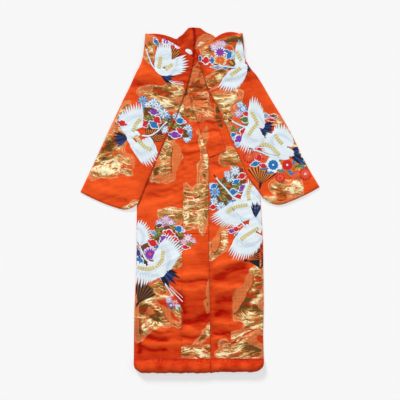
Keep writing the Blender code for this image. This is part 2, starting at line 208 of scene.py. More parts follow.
FRONT_CREASES = (
    # right front and its okumi
    (-19, 47, 9, 46, 4, -2.2), (-17, 51, 8, 51, 7, 1.4), (-20, 57, 6, 56, 4, -1.2),
    (-54, 5, -32, 3, 7, -2.0), (-44, 10, -22, 8, 4, -1.2), (-60, -6, -22, 2, 12, 1.5),
    (-58, 14, -30, 22, 10, -1.3), (-50, 40, -26, 34, 9, 1.3), (-34, -60, -4, -52, 12, 1.8),
    (-26, -81, 10, -81, 3, -2.6), (-28, -75, 10, -74, 9, 2.0), (-24, -90, 8, -88, 10, 1.6),
    (-22, -90, -14, -116, 10, -2.2), (-22, -128, 10, -113, 9, -2.8), (-40, -122, -4, -128, 7, 2.0),
    (-58, -128, 8, -132, 9, 1.4), (-52, -131, -26, -133, 3, -2.2), (-60, -137, -30, -140, 5, -2.6),
    (-60, -143, -12, -144, 8, 1.8), (-58, -148, -32, -151, 5, -2.2), (-63, -124, -60, -156, 6, -2.0),
    (-62, -118, -34, -134, 5, 1.8), (-60, -108, -40, -124, 6, -1.6), (-50, -92, -26, -100, 7, 1.6),
    (-20, -137, 10, -136, 4, -1.6), (-18, -147, 10, -148, 4, -1.4), (-18, -143, 10, -142, 5, 1.4),
    # left front and its okumi
    (13, -79, 46, -64, 8, -3.0), (12, -68, 40, -56, 9, 2.0), (13, -89, 44, -86, 9, 2.0),
    (15, -102, 36, -97, 10, -2.2), (14, -114, 32, -112, 9, -2.0), (13, -123, 38, -122, 8, 1.8),
    (12, -133, 34, -134, 3, -2.2), (12, -139, 34, -139, 5, 1.6), (14, -144, 46, -143, 3, -2.0),
    (34, -146, 60, -130, 5, 2.0), (28, -153, 60, -142, 4, -1.6), (40, -128, 62, -116, 6, 1.8),
    (44, -104, 62, -112, 7, -1.6), (46, -92, 62, -86, 7, 1.6), (12, -40, 34, -48, 10, 1.5),
    (10, 26, 34, 30, 9, 1.4), (10, 36, 30, 33, 5, -1.6),
)
COLLAR_CREASES = (
    (-10, 120, 8, 122, 4, 1.2), (-8, 113, 10, 112, 4, -1.4), (-12, 106, 10, 108, 3, 1.2),
    (-8, 99, 12, 101, 3, -1.4), (-6, 94, 14, 93, 4, 1.2), (-4, 77, 18, 78, 3, -2.4),
    (-2, 82, 16, 84, 6, 1.2), (0, 68, 20, 69, 3, -2.4), (2, 62, 20, 63, 6, 1.2), (6, 52, 26, 54, 7, -1.2),
    (-18, 150, -6, 168, 7, 1.0), (12, 160, -2, 152, 6, 1.0), (-6, 188, -6, 140, 2.5, -4.5),
)

# Woven gold clouds: column, row, half length, half height, turn in degrees
OUTSIDE = -12.0  # the field of a place far from any cloud
GOLD = {
    "sleeve_right": (
        (-56, 106, 9, 5, -12), (-34, 99, 23, 11, -26), (-77, 86, 18, 7, 62), (-24, 108, 10, 6, -30),
        (-22, 92, 8, 7, -60), (-48, 101, 14, 5, -20), (-90, 50, 34, 13, 60), (-82, 36, 17, 12, 12),
        (-98, 25, 15, 6, 4), (-72, 34, 7, 12, 0), (-68, -5, 11, 3, 24), (-50, 152, 16, 8, -80),
        (-52, 161, 7, 5, 0),
    ),
    "sleeve_left": (
        (6, 158, 17, 7, 32), (29, 161, 19, 10, 6), (14, 152, 14, 9, 20), (38, 152, 8, 10, 0),
        (18, 121, 22, 8, 24), (26, 101, 17, 12, 24), (29, 84, 10, 17, 14), (57, 92, 8, 6, -60),
        (79, 78, 11, 7, -52), (96, 50, 22, 7, -60), (86, 12, 19, 12, -8), (99, 26, 10, 7, 0),
        (74, 0, 17, 6, 10), (88, -2, 14, 5, 25),
    ),
    "body_right": (
        (-33, 40, 22, 10, 84), (-42, 28, 13, 8, 50), (-25, 38, 18, 5, 86), (-46, 22, 9, 6, 52),
        (-27, -16, 15, 12, 15), (-23, -59, 12, 6, 70), (-42, -90, 18, 9, -12), (-57, -112, 27, 10, 84),
        (-42, -112, 21, 9, -50), (-50, -116, 16, 12, -30), (-14, 92, 26, 9, 86), (-17, 104, 14, 9, 10),
        (-27, -106, 18, 5, -56), (-30, -122, 12, 4, -20),
    ),
    "okumi_right": (
        (-13, -8, 25, 11, 88), (4, -4, 29, 10, 88), (-5, -8, 24, 8, 88), (-9, -20, 14, 12, 0),
        (4, 18, 16, 7, 78), (5, 34, 15, 8, 88), (3, 69, 23, 5, 88), (8, -97, 17, 5, 88),
        (4, -134, 16, 6, 52), (-4, -153, 24, 9, 0), (-6, 100, 22, 6, 78), (-4, 86, 16, 7, 8),
        (4, 112, 16, 9, 78), (-12, 112, 16, 9, 70), (-3, 100, 22, 12, 84), (-8, 90, 13, 8, 0),
    ),
    "body_left": (
        (35, 40, 15, 9, -20), (46, -96, 27, 11, 65), (57, -88, 27, 10, 85), (50, -108, 17, 11, 60),
        (55, -124, 14, 12, 45), (40, -140, 28, 12, 34), (50, -150, 19, 13, 0), (33, -155, 21, 6, 4),
    ),
    "okumi_left": (
        (20, -42, 21, 9, 62), (24, -33, 9, 8, 0), (27, -149, 15, 9, 35), (24, 40, 5, 8, 0),
        (19, 84, 12, 6, -72),
    ),
    "collar_right": (
        (0, 104, 16, 15, 0), (-2, 118, 30, 8, 72), (-4, 96, 20, 10, 80), (8, 104, 22, 9, 74),
        (-10, 108, 22, 5, 75), (7, 96, 18, 6, 72), (9, 86, 16, 7, 8), (17, 91, 9, 5, 20),
        (5, 64, 13, 4, 80), (0, 98, 12, 6, 10),
    ),
    "collar_left": (
        (4, 157, 16, 7, 34), (20, 83, 11, 6, -72),
    ),
}

# Painted highlights and painted shade on the metal yarn, and, under -2, where it is only netted:
# column, row, half length, half height, turn, strength
SHINE = {
    "sleeve_right": (
        (-93, 28, 16, 3, -6, 1.1), (-94, 34, 20, 8, -8, 0.6), (-83, 38, 8, 2.5, -62, 1),
        (-80, 46, 7, 2.5, 20, 0.9), (-92, 50, 15, 5, 58, -0.7), (-76, 47, 8, 3, -18, -0.9),
        (-101, 62, 9, 3, 60, 0.5), (-98, 44, 6, 2, 30, 0.7), (-86, 57, 7, 2.5, 25, -0.6),
        (-24, 108, 6, 4, -40, 1.1), (-37, 107, 9, 3.5, -10, -0.8), (-40, 97, 16, 2, -32, 0.7),
        (-30, 96, 9, 1.6, -35, 0.8), (-68, -5, 9, 2, 26, 0.8), (-50, 160, 7, 5, 0, -0.7),
    ),
    "sleeve_left": (
        (5, 157, 12, 2.2, 32, 0.7), (20, 157, 15, 7, 20, -0.6), (30, 162, 10, 4, 0, -0.9),
        (40, 155, 5, 7, 0, -0.5), (16, 150, 8, 3, 10, -0.5), (16, 121, 14, 2, 32, 0.8),
        (24, 130, 10, 4, 20, -0.7), (33, 103, 9, 3, 62, 1), (27, 98, 5, 3, 30, 0.8),
        (26, 86, 4, 9, 15, 0.4), (79, 19, 8, 2, 60, 1.1), (93, 13, 11, 2, 74, 1.2),
        (90, 12, 10, 1.8, 20, 1.1), (99, 15, 8, 1.8, -50, 1.1), (86, 21, 7, 1.8, -15, 1.0),
        (83, 6, 7, 4, 0, -1), (82, -2, 16, 2.5, 14, -0.9), (73, 4, 4, 3, 60, 0.9), (79, 78, 6, 2, -50, 0.6),
        (97, 52, 12, 2.5, -58, 0.5),
    ),
    "body_right": (
        (-23.5, 41, 12, 3, 86, -30), (-32, -112, 8, 2.6, -62, -30), (-37, 46, 6, 3, 80, 1),
        (-33, 56, 5, 3, 60, 0.8), (-38, 31, 7, 2.5, 60, 1), (-43, 27, 6, 4, 50, -0.9),
        (-48, 19, 5, 2.5, 50, 1), (-27, -13, 9, 5, 70, 0.9), (-49, -103, 14, 2, -38, 1.1),
        (-38, -97, 13, 1.6, 6, 0.9), (-48, -121, 13, 1.8, -24, 1.1), (-56, -128, 7, 2.5, -50, 0.7),
        (-50, -112, 13, 6, -28, -0.9), (-62, -128, 10, 4, 88, -0.9), (-36, -112, 16, 4, -52, -0.1),
        (-13, 91, 8, 4, 0, 1), (-12, 106, 12, 5, 20, -0.6), (-14, 100, 22, 8, 84, -0.6),
        (-17, 92, 6, 3, 10, 1.2),
    ),
    "okumi_right": (
        (-13, -6, 22, 2.5, 88, 0.8), (-3, -8, 22, 9, 88, 0.35), (-2, -22, 10, 5, 88, 0.6),
        (6, -8, 20, 3, 90, -0.4), (4, 80, 8, 5, 0, 0.7), (2, 62, 14, 2, 88, 0.5), (6, 38, 10, 2.5, 88, 1),
        (-9, -149, 13, 2, -4, 1.1), (-6, -146, 9, 1.4, -3, -0.8), (0, -156, 7, 3, 6, 1),
        (-14, -157, 8, 2.5, 0, -0.6), (9, -130, 5, 2.5, 60, 1), (1, -137, 10, 3, 48, -0.5),
        (8, -97, 20, 8, 88, -1.0), (-4, 104, 14, 8, 0, -0.5), (-2, 104, 22, 12, 80, -0.6),
        (3, 82, 5, 6, 80, 0.9),
    ),
    "body_left": (
        (46, -84, 6.6, 3.6, 60, -30), (40, -95, 7.4, 3.6, 66, -30), (35, -104, 5.8, 3.2, 75, -30),
        (53, -74, 8, 3.5, 70, 1.1), (49, -70, 4, 3, 0, 0.7), (56, -99, 9, 2.2, 35, 1.1),
        (48, -116, 8, 3.5, 75, 1.1), (46, -102, 11, 5, 52, -0.9), (58, -86, 11, 3, 84, -0.6),
        (58, -110, 6, 5, 0, -0.6), (48, -131, 17, 1.6, 24, 1.2), (33, -149, 9, 3.2, 22, 1),
        (24, -155, 9, 2.6, 10, 1.1), (44, -158.5, 17, 1.3, 0, 0.9), (55, -146, 10, 9, 70, -0.8),
        (42, -129, 7, 2.6, 20, -0.8), (42, -140, 12, 1.8, 24, 0.7), (37, 42, 9, 2.5, -28, 0.8),
        (36, 35, 8, 2, -20, -0.6),
    ),
    "okumi_left": (
        (25, -42, 8, 2.5, 76, 0.8), (20, 83, 12, 8, -70, -1.2), (16, -41, 7.4, 2.4, 80, -30),
        (14, -58, 8, 2.5, 66, 0.6), (26, -153, 11, 3.5, 14, 1.1),
    ),
    "collar_right": (
        (5, 101, 10, 2, -4, 0.8), (-2, 118, 12, 6, 80, -0.2), (9, 87, 11, 4, -8, 1.2),
        (12, 78, 4, 2, 0, 0.8), (20, 77, 5, 2.5, -4, -1.2), (17, 91, 5, 3, 0, -1.2),
        (4, 106, 8, 1.6, -6, 0.9), (-2, 106, 24, 12, 76, -0.4), (-12, 90, 7, 5, 0, 1.0),
        (20, 83, 10, 7, -70, -1.2),
    ),
    "collar_left": (
        (20, 83, 12, 8, -70, -1.3), (4, 158, 12, 2.4, 34, 0.8), (9, 162, 8, 3, 34, -0.8),
        (2, 152, 9, 3, 20, -0.6),
    ),
}

THREADS = {
    "white": (226, 236, 242), "shade": (208, 222, 233), "cream": (222, 212, 166), "navy": (18, 28, 62),
    "black": (22, 18, 18), "blue": (26, 112, 178), "sky": (150, 192, 226), "red": (205, 26, 26),
    "coral": (226, 84, 48), "purple": (130, 56, 166), "lilac": (220, 192, 220), "green": (78, 116, 56),
    "teal": (34, 124, 134), "brown": (112, 66, 34), "gold": (196, 148, 62), "orange": (224, 96, 32),
    "copper": (196, 92, 34), "straw": (196, 184, 126), "rose": (232, 192, 206), "steel": (122, 156, 188),
    "amber": (232, 128, 48), "ink": (40, 64, 128), "mauve": (170, 134, 180), "wine": (190, 96, 116),
}
FEATHER, PETAL, LOZENGE, STRIP, WEDGE = range(5)


def linear(rgb):
    """A colour in 0 to 255 as linear light."""
    share = np.asarray(rgb, float) / 255.0
    return tuple(np.where(share <= 0.04045, share / 12.92, ((share + 0.055) / 1.055) ** 2.4))


def smooth_step(value):
    value = np.clip(value, 0.0, 1.0)
    return value * value * (3.0 - 2.0 * value)


# ---------------------------------------------------------------- outlines and heights


def edge_x(edge, y):
    """x of an outline at heights y."""
    rows = np.array(edge[::-1])
    return np.interp(y, rows[:, 0], rows[:, 1])


def rounded_line(points, each=8):
    """A smooth curve through the points, with several points to each stretch."""
    p = np.array(points, float)
    p = np.vstack([2 * p[0] - p[1], p, 2 * p[-1] - p[-2]])
    out = []
    for a, b, c, d in zip(p, p[1:], p[2:], p[3:]):
        for t in np.arange(each) / each:
            out.append(
                0.5
                * (2 * b + (c - a) * t + (2 * a - 5 * b + 4 * c - d) * t**2 + (3 * b - a - 3 * c + d) * t**3)
            )
    out.append(p[-2])
    return np.array(out)


def along(line, share):
    """Points at shares of a line's length."""
    steps = np.linalg.norm(np.diff(line, axis=0), axis=1)
    reach = np.concatenate([[0], np.cumsum(steps)]) / steps.sum()
    return np.stack([np.interp(share, reach, line[:, k]) for k in range(line.shape[1])], axis=-1)


def bearing(start, end):
    """Degrees from +X of the way from one point to another."""
    return math.degrees(math.atan2(end[1] - start[1], end[0] - start[0]))


def run_of(points):
    """Distance from the first point along a line, at each of its points."""
    return np.concatenate([[0], np.cumsum(np.linalg.norm(np.diff(points, axis=0), axis=1))])


def creases(x, y, table, scale):
    """Heights of the listed creases: soft ridges and troughs that fade at both ends."""
    height = np.zeros_like(x)
    for col_a, row_a, col_b, row_b, wide, high in table:
        a = np.array([col_a, row_a]) * SQUARE
        b = np.array([col_b, row_b]) * SQUARE
        span = np.linalg.norm(b - a)
        along_it = ((x - a[0]) * (b[0] - a[0]) + (y - a[1]) * (b[1] - a[1])) / span**2
        off = ((x - a[0]) * (b[1] - a[1]) - (y - a[1]) * (b[0] - a[0])) / span
        off = off + 0.006 * np.sin(along_it * 7 + col_a) * math.copysign(1, high)
        fade = smooth_step((along_it + 0.12) / 0.3) * smooth_step((1.12 - along_it) / 0.3)
        profile = np.exp(-(np.abs(off / (wide * CREASE_WIDTH)) ** 1.4))
        height += high * CREASE_HEIGHT * scale * fade * profile
    return height


def ripple(x, y, seed):
    """Small unevenness that every laid silk has."""
    return (
        0.00035 * np.sin(x * 71 + 1.7 * seed + 2.2 * np.sin(y * 17 + seed))
        + 0.00040 * np.sin(y * 58 + seed + 1.8 * np.sin(x * 23 - seed))
        + 0.00020 * np.sin((x + y) * 133 + 3.1 * seed + 1.5 * np.sin((x - y) * 41))
    )


def swell(x, y):
    """How far the fronts stand up between the sleeves and the hem."""
    wave = np.sin(2 * math.pi * (y + 0.10 * x) / 0.41)
    shorter = np.sin(2 * math.pi * (y - 0.22 * x) / 0.27 + 1.1)
    fade = smooth_step((-0.06 - y) / 0.16) * smooth_step((y - HEM_SEAM_Y) / 0.16)
    return 0.0024 * fade * (0.5 + 0.3 * wave + 0.2 * shorter)


def gathers(x, y):
    """Fine crosswise wrinkles at the chest, where the fronts are drawn together."""
    inside = smooth_step((y - 0.44) / 0.08) * smooth_step((0.80 - y) / 0.08)
    inside = inside * smooth_step((0.16 - np.abs(x)) / 0.06)
    bend = 0.011 * np.sin(x * 24 + y * 9) + 0.005 * np.sin(x * 61 - y * 31)
    wide = np.sin((y + bend) * 2 * math.pi / 0.031)
    close = np.sin((y - 1.4 * bend) * 2 * math.pi / 0.019 + 1)
    return 0.0011 * inside * (wide + 0.6 * close)


def soft_folds(x, y, seed):
    """Low crosswise folds that come and go over the padded cloth."""
    bend = 0.020 * np.sin(9 * x + seed) + 0.012 * np.sin(17 * x - 6 * y + 2 * seed)
    near = np.sin(2 * math.pi * (y + 0.20 * x + bend) / 0.066 + seed)
    near = near * (0.5 + 0.5 * np.sin(5 * x + 7 * y + seed))
    close = np.sin(2 * math.pi * (y - 0.30 * x - 0.6 * bend) / 0.036 + 2 * seed)
    close = close * np.clip(np.sin(11 * x - 4 * y + 2 + seed), 0, 1)
    lean = np.sin(2 * math.pi * (y + 0.55 * x + bend) / 0.104 + 3 * seed)
    return 0.0005 * near + 0.0006 * close + 0.0004 * lean


def relief_of(x, y, table, seed):
    """Height over the level of a cloth, and how deep each place lies in its folds, from -1 to 1; the second
    is painted into the silk's colour as shade in the troughs and light on the ridges.
    """
    high = bpy.context.scene.uchikake_sizes.crease_height
    folds = creases(x, y, table, high) + (gathers(x, y) + soft_folds(x, y, seed)) * high
    relief = np.maximum(folds + ripple(x, y, seed) + 0.0034, -0.0004)
    # The second value is painted into the colour: shade in the fold troughs, light on the ridges.
    return relief, np.clip(folds / 0.0042, -1, 1)


def resting_height(x, y, side, away):
    """Underside of a sleeve: on the fronts, and down to the floor beside them."""
    on_body = FRONT_Z + WALL / 2 + CLOTH_GAP
    on_body = on_body + STEP * smooth_step((y - COLLAR_LIFT_FROM_Y) / COLLAR_LIFT_OVER)
    inside = (edge_x(side, y) - x) * away
    return on_body * smooth_step((inside + DRAPE) / DRAPE)


def overlap_height(x, y):
    """Level of the right okumi, which climbs from its seam onto the left front."""
    climb = smooth_step((x - OVERLAP_X + OVERLAP_RAMP) / OVERLAP_RAMP)
    return FRONT_Z + STEP * climb + swell(x, y)


# ---------------------------------------------------------------- meshes


def shares_of(count, fine):
    """Shares from 0 to 1, with two finer steps at both ends for a rolled edge."""
    middle = np.linspace(3 * fine, 1 - 3 * fine, count)
    return np.concatenate([[0, fine], middle, [1 - fine, 1]])


def new_object(name, data):
    item = bpy.data.objects.new(name, data)
    bpy.context.scene.collection.objects.link(item)
    return item


def smooth_faces(mesh):
    mesh.polygons.foreach_set("use_smooth", np.ones(len(mesh.polygons), bool))


def cloth_mesh(name, points, faces, uvs, marks):
    """A mesh with its own map in metres, and what the weave does at each point."""
    mesh = bpy.data.meshes.new(name)
    mesh.from_pydata(points.reshape(-1, 3).tolist(), [], faces)
    layer = mesh.uv_layers.new(name="UVMap")
    corners = np.zeros(len(mesh.loops), np.int32)
    mesh.loops.foreach_get("vertex_index", corners)
    layer.data.foreach_set("uv", uvs.reshape(-1, 2)[corners].astype(np.float32).ravel())
    for label, values in marks.items():
        values = np.broadcast_to(values, points.shape[:-1]).astype(np.float32)
        mesh.attributes.new(label, "FLOAT", "POINT").data.foreach_set("value", values.ravel())
    smooth_faces(mesh)
    return mesh


def grid_object(name, points, uvs, marks):
    """A sheet from rows of points."""
    rows, cols = points.shape[:2]
    index = np.arange(rows * cols).reshape(rows, cols)
    faces = np.stack([index[:-1, :-1], index[:-1, 1:], index[1:, 1:], index[1:, :-1]], axis=-1)
    mesh = cloth_mesh(name, points, faces.reshape(-1, 4).tolist(), uvs, marks)
    return new_object(f"{name}_silk", mesh)


def front_marks(shape, first, x, y, fold, name):
    """Gold field, painted shine and painted fold shade of a cloth whose visible layer starts at the given
    row.
    """
    marks = {"gold": np.full(shape, OUTSIDE), "shine": np.zeros(shape), "fold": np.zeros(shape)}
    marks["gold"][first:] = gold_field(x, y, GOLD[name])
    marks["shine"][first:] = shine_field(x, y, SHINE[name])
    marks["fold"][first:] = fold
    return marks


def apply_modifiers(item):
    """Keeps what the modifiers make as a plain mesh."""
    graph = bpy.context.evaluated_depsgraph_get()
    made = bpy.data.meshes.new_from_object(item.evaluated_get(graph))
    made.name = item.name
    item.modifiers.clear()
    item.data = made


def lined(item, wall):
    """Gives a sheet the thickness of its silk, interlining and lining."""
    solid = item.modifiers.new("lining", "SOLIDIFY")
    solid.thickness = wall
    solid.offset = 0.0
    solid.use_even_offset = True
    apply_modifiers(item)
    item.data.set_sharp_from_angle(angle=math.radians(50))


def within(x, y, spot):
    """Places in an ellipse, 1 at its edge, along and across it."""
    col, row, long, high, turn = spot
    c, s = math.cos(math.radians(turn)), math.sin(math.radians(turn))
    dx, dy = x / SQUARE - col, y / SQUARE - row
    return (dx * c + dy * s) / long, (dy * c - dx * s) / high


def gold_field(x, y, clouds):
    """Squares inside the edge of the woven clouds, below 0 outside them."""
    field = np.full_like(x, OUTSIDE)
    for cloud in clouds:
        long, high = cloud[2:4]
        u, v = within(x, y, cloud)
        reach = np.maximum(np.hypot(u, v), 1e-3)
        slope = np.maximum(np.hypot(u / long, v / high) / reach, 1 / max(long, high))
        inside = np.clip((1 - reach) / slope, OUTSIDE, -OUTSIDE)
        blend = np.clip(3.0 - np.abs(field - inside), 0, 3.0)
        field = np.maximum(field, inside) + blend**2 / 12
    return field


def shine_field(x, y, spots):
    """Sum of soft spots of painted highlight and painted shade on the metal yarn."""
    shine = np.zeros_like(x)
    for *spot, strength in spots:
        u, v = within(x, y, spot)
        shine += strength * np.exp(-((u**2 + v**2) ** 1.4) * 0.9)
    return shine


def body_length(name, side, inner, towards_centre, bow, seed):
    """One length: up the back, over the shoulder fold and down the front."""
    share = shares_of(42, 0.008)
    fold = (FRONT_Z - BACK_Z) / 2
    centre = CENTRE_X - towards_centre * SEAM / 2
    side_x, neck_x, neck_y = side[0][1], inner[0][1], inner[0][0]

    def row(y, inner_x):
        outer_x = edge_x(side, y)
        return outer_x + (inner_x - outer_x) * share, np.full_like(share, y)

    def level_row(x, y, z):
        rows.append(np.stack([x, y, np.full_like(x, z)], axis=-1))

    top_x = side_x + (neck_x - side_x) * share
    top_y = SHOULDER_Y + (neck_y - SHOULDER_Y) * share - fold + bow * 4 * share * (1 - share)
    rows = []
    for y in np.linspace(HEM_SEAM_Y + SEAM, NECK_BACK_Y, BACK_ROWS):
        level_row(*row(y, centre), BACK_Z)
    for part in (0.35, 0.7, 1.0):
        x, y = row(NECK_BACK_Y, centre)
        level_row(x + (top_x - x) * part, y + (top_y - y) * part, BACK_Z)
    for turn in (30, 60, 90, 120, 150, 180):
        reach = fold * math.sin(math.radians(turn))
        level_row(top_x, top_y + reach, BACK_Z + fold * (1 - math.cos(math.radians(turn))))
    for part in (0.1, 0.25, 0.4, 0.55, 0.7, 0.85):
        x, y = row(NECK_BACK_Y, edge_x(inner, NECK_BACK_Y))
        level_row(top_x + (x - top_x) * part, top_y + (y - top_y) * part, FRONT_Z)
    first_front = len(rows)
    for y in np.linspace(NECK_BACK_Y, HEM_SEAM_Y + SEAM, FRONT_ROWS):
        x, y = row(y, edge_x(inner, y) - towards_centre * SEAM / 2)
        level_row(x, y, FRONT_Z + swell(x, y))
    points = np.array(rows)
    x, y, level = np.moveaxis(points[first_front:], -1, 0)
    rise = smooth_step(share / 0.10)[None, :] * smooth_step((1.0 - share) / 0.02 + 0.6)[None, :]
    # fold_shade: how deep each place lies in its folds, painted into the colour as shade.
    relief, fold_shade = relief_of(x, y, FRONT_CREASES, seed)
    relief = relief * smooth_step((0.86 - y) / 0.05)
    points[first_front:, :, 2] = SIDE_Z + (level + relief - SIDE_Z) * rise
    run = run_of(points[:, 20])
    uvs = np.stack([points[:, :, 0], np.broadcast_to(run[:, None], points.shape[:2])], axis=-1)
    marks = front_marks(points.shape[:2], first_front, x, y, fold_shade, name)
    return grid_object(name, points, uvs, marks)


def panel(name, heights, left, right, level, seed):
    """A front panel between two edges."""
    share = shares_of(24, 0.012)
    x = left[:, None] + (right - left)[:, None] * share
    y = np.broadcast_to(heights[:, None], x.shape)
    relief, fold = relief_of(x, y, FRONT_CREASES, seed)
    points = np.stack([x, y, level(x, y) + relief], axis=-1)
    return grid_object(name, points, points[:, :, :2], front_marks(x.shape, 0, x, y, fold, name))


def collar_band(name, band, z, seed):
    """A folded band from the back of the neck to its square end."""
    share = shares_of(18, 0.02)
    table = np.array(band)
    rows = np.linspace(0, 1, COLLAR_ROWS)
    start = along(rounded_line(table[:, :2]), rows)
    end = along(rounded_line(table[:, 2:]), rows)
    inset = SEAM / np.abs(end[:, :1] - start[:, :1])
    start, end = start + (end - start) * inset, end - (end - start) * inset
    flat = start[:, None, :] + (end - start)[:, None, :] * share[None, :, None]
    x, y = flat[:, :, 0], flat[:, :, 1]
    edge = smooth_step(np.minimum(share, 1 - share) / 0.05)[None, :]
    relief, fold = relief_of(x, y, COLLAR_CREASES, seed)
    high = z + relief * (0.3 + 0.7 * edge) - 0.0006 * (1 - edge)
    points = np.concatenate([flat, high[:, :, None]], axis=-1)
    wide = np.broadcast_to(share * 0.1, x.shape)
    uvs = np.stack([wide, np.broadcast_to(run_of(start)[:, None], x.shape)], axis=-1)
    return grid_object(name, points, uvs, front_marks(x.shape, 0, x, y, fold, name))


def sleeve_points(outer, cuff, side, away, bow_top, share, ups):
    """Places on a sleeve, with its rounded foot corner and bowed folds."""
    width = math.dist(outer[0], cuff[0])
    length = math.dist(outer[0], outer[-1])
    across, up = np.meshgrid(share, ups)
    off_cuff, off_foot = width * (1 - across), length * up
    p, q = 1 - off_cuff / SLEEVE_CORNER, 1 - off_foot / SLEEVE_CORNER
    corner = (p > 0) & (q > 0)
    pull = np.where(corner, np.maximum(p, q) / np.maximum(np.hypot(p, q), 1e-9), 1)
    across = 1 - np.where(corner, SLEEVE_CORNER * (1 - p * pull), off_cuff) / width
    up = np.where(corner, SLEEVE_CORNER * (1 - q * pull), off_foot) / length
    start, end = along(rounded_line(outer), up), along(rounded_line(cuff), up)
    flat = start + (end - start) * across[:, :, None]
    bow = bow_top * smooth_step((up - BOW_FROM) / (1 - BOW_FROM))
    bow = bow - FOOT_BOW * smooth_step(1 - up / (1 - BOW_FROM))
    x, y = flat[:, :, 0], flat[:, :, 1] + bow * 4 * across * (1 - across)
    uvs = np.stack([across * width, up * length], axis=-1)
    return x, y, resting_height(x, y, side, away) + WALL / 2, uvs


def sleeve(name, outer, cuff, side, away, bow_top, table, seed):
    """One cloth folded at the shoulder: up the lower layer and down the upper one."""
    share = shares_of(48, 0.008)
    fold = STEP / 2
    last = 1 - 1.5 * fold / math.dist(outer[0], outer[-1])
    args = (outer, cuff, side, away, bow_top, share)
    low_x, low_y, low_z, low_uv = sleeve_points(*args, np.linspace(0, last, LOWER_SLEEVE_ROWS))
    top_x, top_y, top_z, top_uv = sleeve_points(*args, np.linspace(last, 0, SLEEVE_ROWS))
    lower = np.stack([low_x, low_y, low_z], axis=-1)
    turns = []
    for turn in (36, 72, 108, 144):
        reach = fold * math.sin(math.radians(turn))
        lift = fold * (1 - math.cos(math.radians(turn)))
        turns.append(lower[-1] + np.array([0, reach, lift]))
    down = np.linspace(0, 1, SLEEVE_ROWS)[:, None]
    rim = np.minimum(np.minimum(share, 1 - share) / 0.035, np.linspace(1, 0, SLEEVE_ROWS)[:, None] / 0.012)
    edge = np.sqrt(np.clip(rim * (2 - rim), 0, 1)) * (rim < 1) + (rim >= 1)
    shoulder = smooth_step(down / 0.02)
    # fold_shade: how deep each place lies in its folds, painted into the colour as shade.
    relief, fold_shade = relief_of(top_x, top_y, table, seed)
    relief = relief + 0.0030
    high = top_z + STEP + relief * edge * shoulder - 0.0004 * (1 - edge) * shoulder
    upper = np.stack([top_x, top_y, high], axis=-1)
    points = np.concatenate([lower, np.array(turns), upper])
    uvs = np.concatenate([low_uv, np.repeat(low_uv[-1:], 4, axis=0), top_uv])
    marks = front_marks(points.shape[:2], len(points) - SLEEVE_ROWS, top_x, top_y, fold_shade, name)
    return grid_object(name, points, uvs, marks)


def round_end(distance, wide):
    """A quarter circle's height, from 0 at an end to 1 where the rounding is over."""
    return np.sqrt(np.clip(1 - (1 - np.clip(distance / wide, 0, 1)) ** 2, 0, 1))


def hem_roll(name, start, end, front, seed):
    """A padded roll: rings of its profile along the hem, closed at both ends."""
    xs = np.linspace(start, end, max(8, round((end - start) / ROLL_POINT_STEP)))
    to_side = np.minimum(xs - ROLL_LOW.x, ROLL_HIGH.x - xs).clip(0)
    short = LEFT_ROLL_SHORT * np.clip((xs - FRONT_EDGE_X) / 0.03, 0, 1)
    uneven = 0.0016 * np.sin(xs * 61 + seed) + 0.0013 * np.sin(xs * 143 + 2 * seed)
    uneven = uneven + 0.0008 * np.sin(xs * 410 + 3 * np.sin(xs * 37))
    depth = ROLL_DEPTH - short - CORNER_HIGH * (1 - round_end(to_side, CORNER_WIDE)) + uneven * 0.8
    lower = 0.45 + 0.55 * round_end(to_side, ROLL_END)
    upper = np.minimum(lower, 0.80 + 0.20 * round_end(np.abs(FRONT_EDGE_X - xs), ROLL_END))
    share, under, back_top, front_top = np.array(ROLL_PROFILE).T
    gather = np.exp(-(((share - 0.08) / 0.13) ** 2))
    puckers = np.sin(xs * 330 + 3 * np.sin(xs * 47 + seed)) * (0.6 + 0.4 * np.sin(xs * 29 + seed))
    lumps = np.sin(xs * 44 + seed) * 0.5 + np.sin(xs * 83 + 2.1 * seed) * 0.5
    swellings = lumps[:, None] * 0.0009 * np.sin(math.pi * share)[None, :]
    swellings = swellings + puckers[:, None] * 0.0012 * gather[None, :]
    base = back_top[None, :] * lower[:, None]
    top = front_top[None, :] * upper[:, None] + 0.0006 + swellings if front else base
    bottom = base + 0.0006 if front else under[None, :] * lower[:, None]
    ys = HEM_SEAM_Y - depth[:, None] * share[None, :]
    wide = np.broadcast_to(xs[:, None], ys.shape)
    tops = np.stack([wide, ys, top], axis=-1)
    unders = np.stack([wide, ys, bottom], axis=-1)[:, ::-1]
    points = np.concatenate([tops, unders], axis=1)
    rings, count = points.shape[:2]
    index = np.arange(rings * count).reshape(rings, count)
    after = np.roll(index, -1, axis=1)
    faces = np.stack([index[:-1], index[1:], after[1:], after[:-1]], axis=-1).reshape(-1, 4).tolist()
    for ring, flip in ((index[0], False), (index[-1], True)):
        for k in range(count // 2 - 1):
            quad = [ring[k], ring[k + 1], ring[count - 2 - k], ring[count - 1 - k]]
            faces.append([int(i) for i in (quad[::-1] if flip else quad)])
    run = np.tile(np.concatenate([share, 2 - share[::-1]]) * ROLL_DEPTH, rings)
    uvs = np.stack([points[:, :, 0].reshape(-1), run], axis=-1)
    # Painted shade along the roll's profile: darker at its seam and its underside, lighter on its crown,
    # with light and shade that follow its lumps and puckers; stored as the fold mark.
    painted_roll_shade = np.interp(share, (0, 0.10, 0.45, 0.7, 0.92, 1), (-1.0, -0.65, -0.25, -0.1, -0.5, -1.0))
    painted_roll_shade = painted_roll_shade + 0.5 * lumps[:, None] * np.sin(math.pi * share) + 0.3 * puckers[:, None] * gather
    marks = {"fold": np.concatenate([painted_roll_shade, np.full_like(painted_roll_shade, -1.0)], axis=1)}
    mesh = cloth_mesh(name, points, faces, uvs, marks)
    made = bmesh.new()
    made.from_mesh(mesh)
    bmesh.ops.recalc_face_normals(made, faces=made.faces[:])
    made.to_mesh(mesh)
    made.free()
    mesh.set_sharp_from_angle(angle=math.radians(60))
    return new_object(f"{name}_silk", mesh)


# ---------------------------------------------------------------- materials


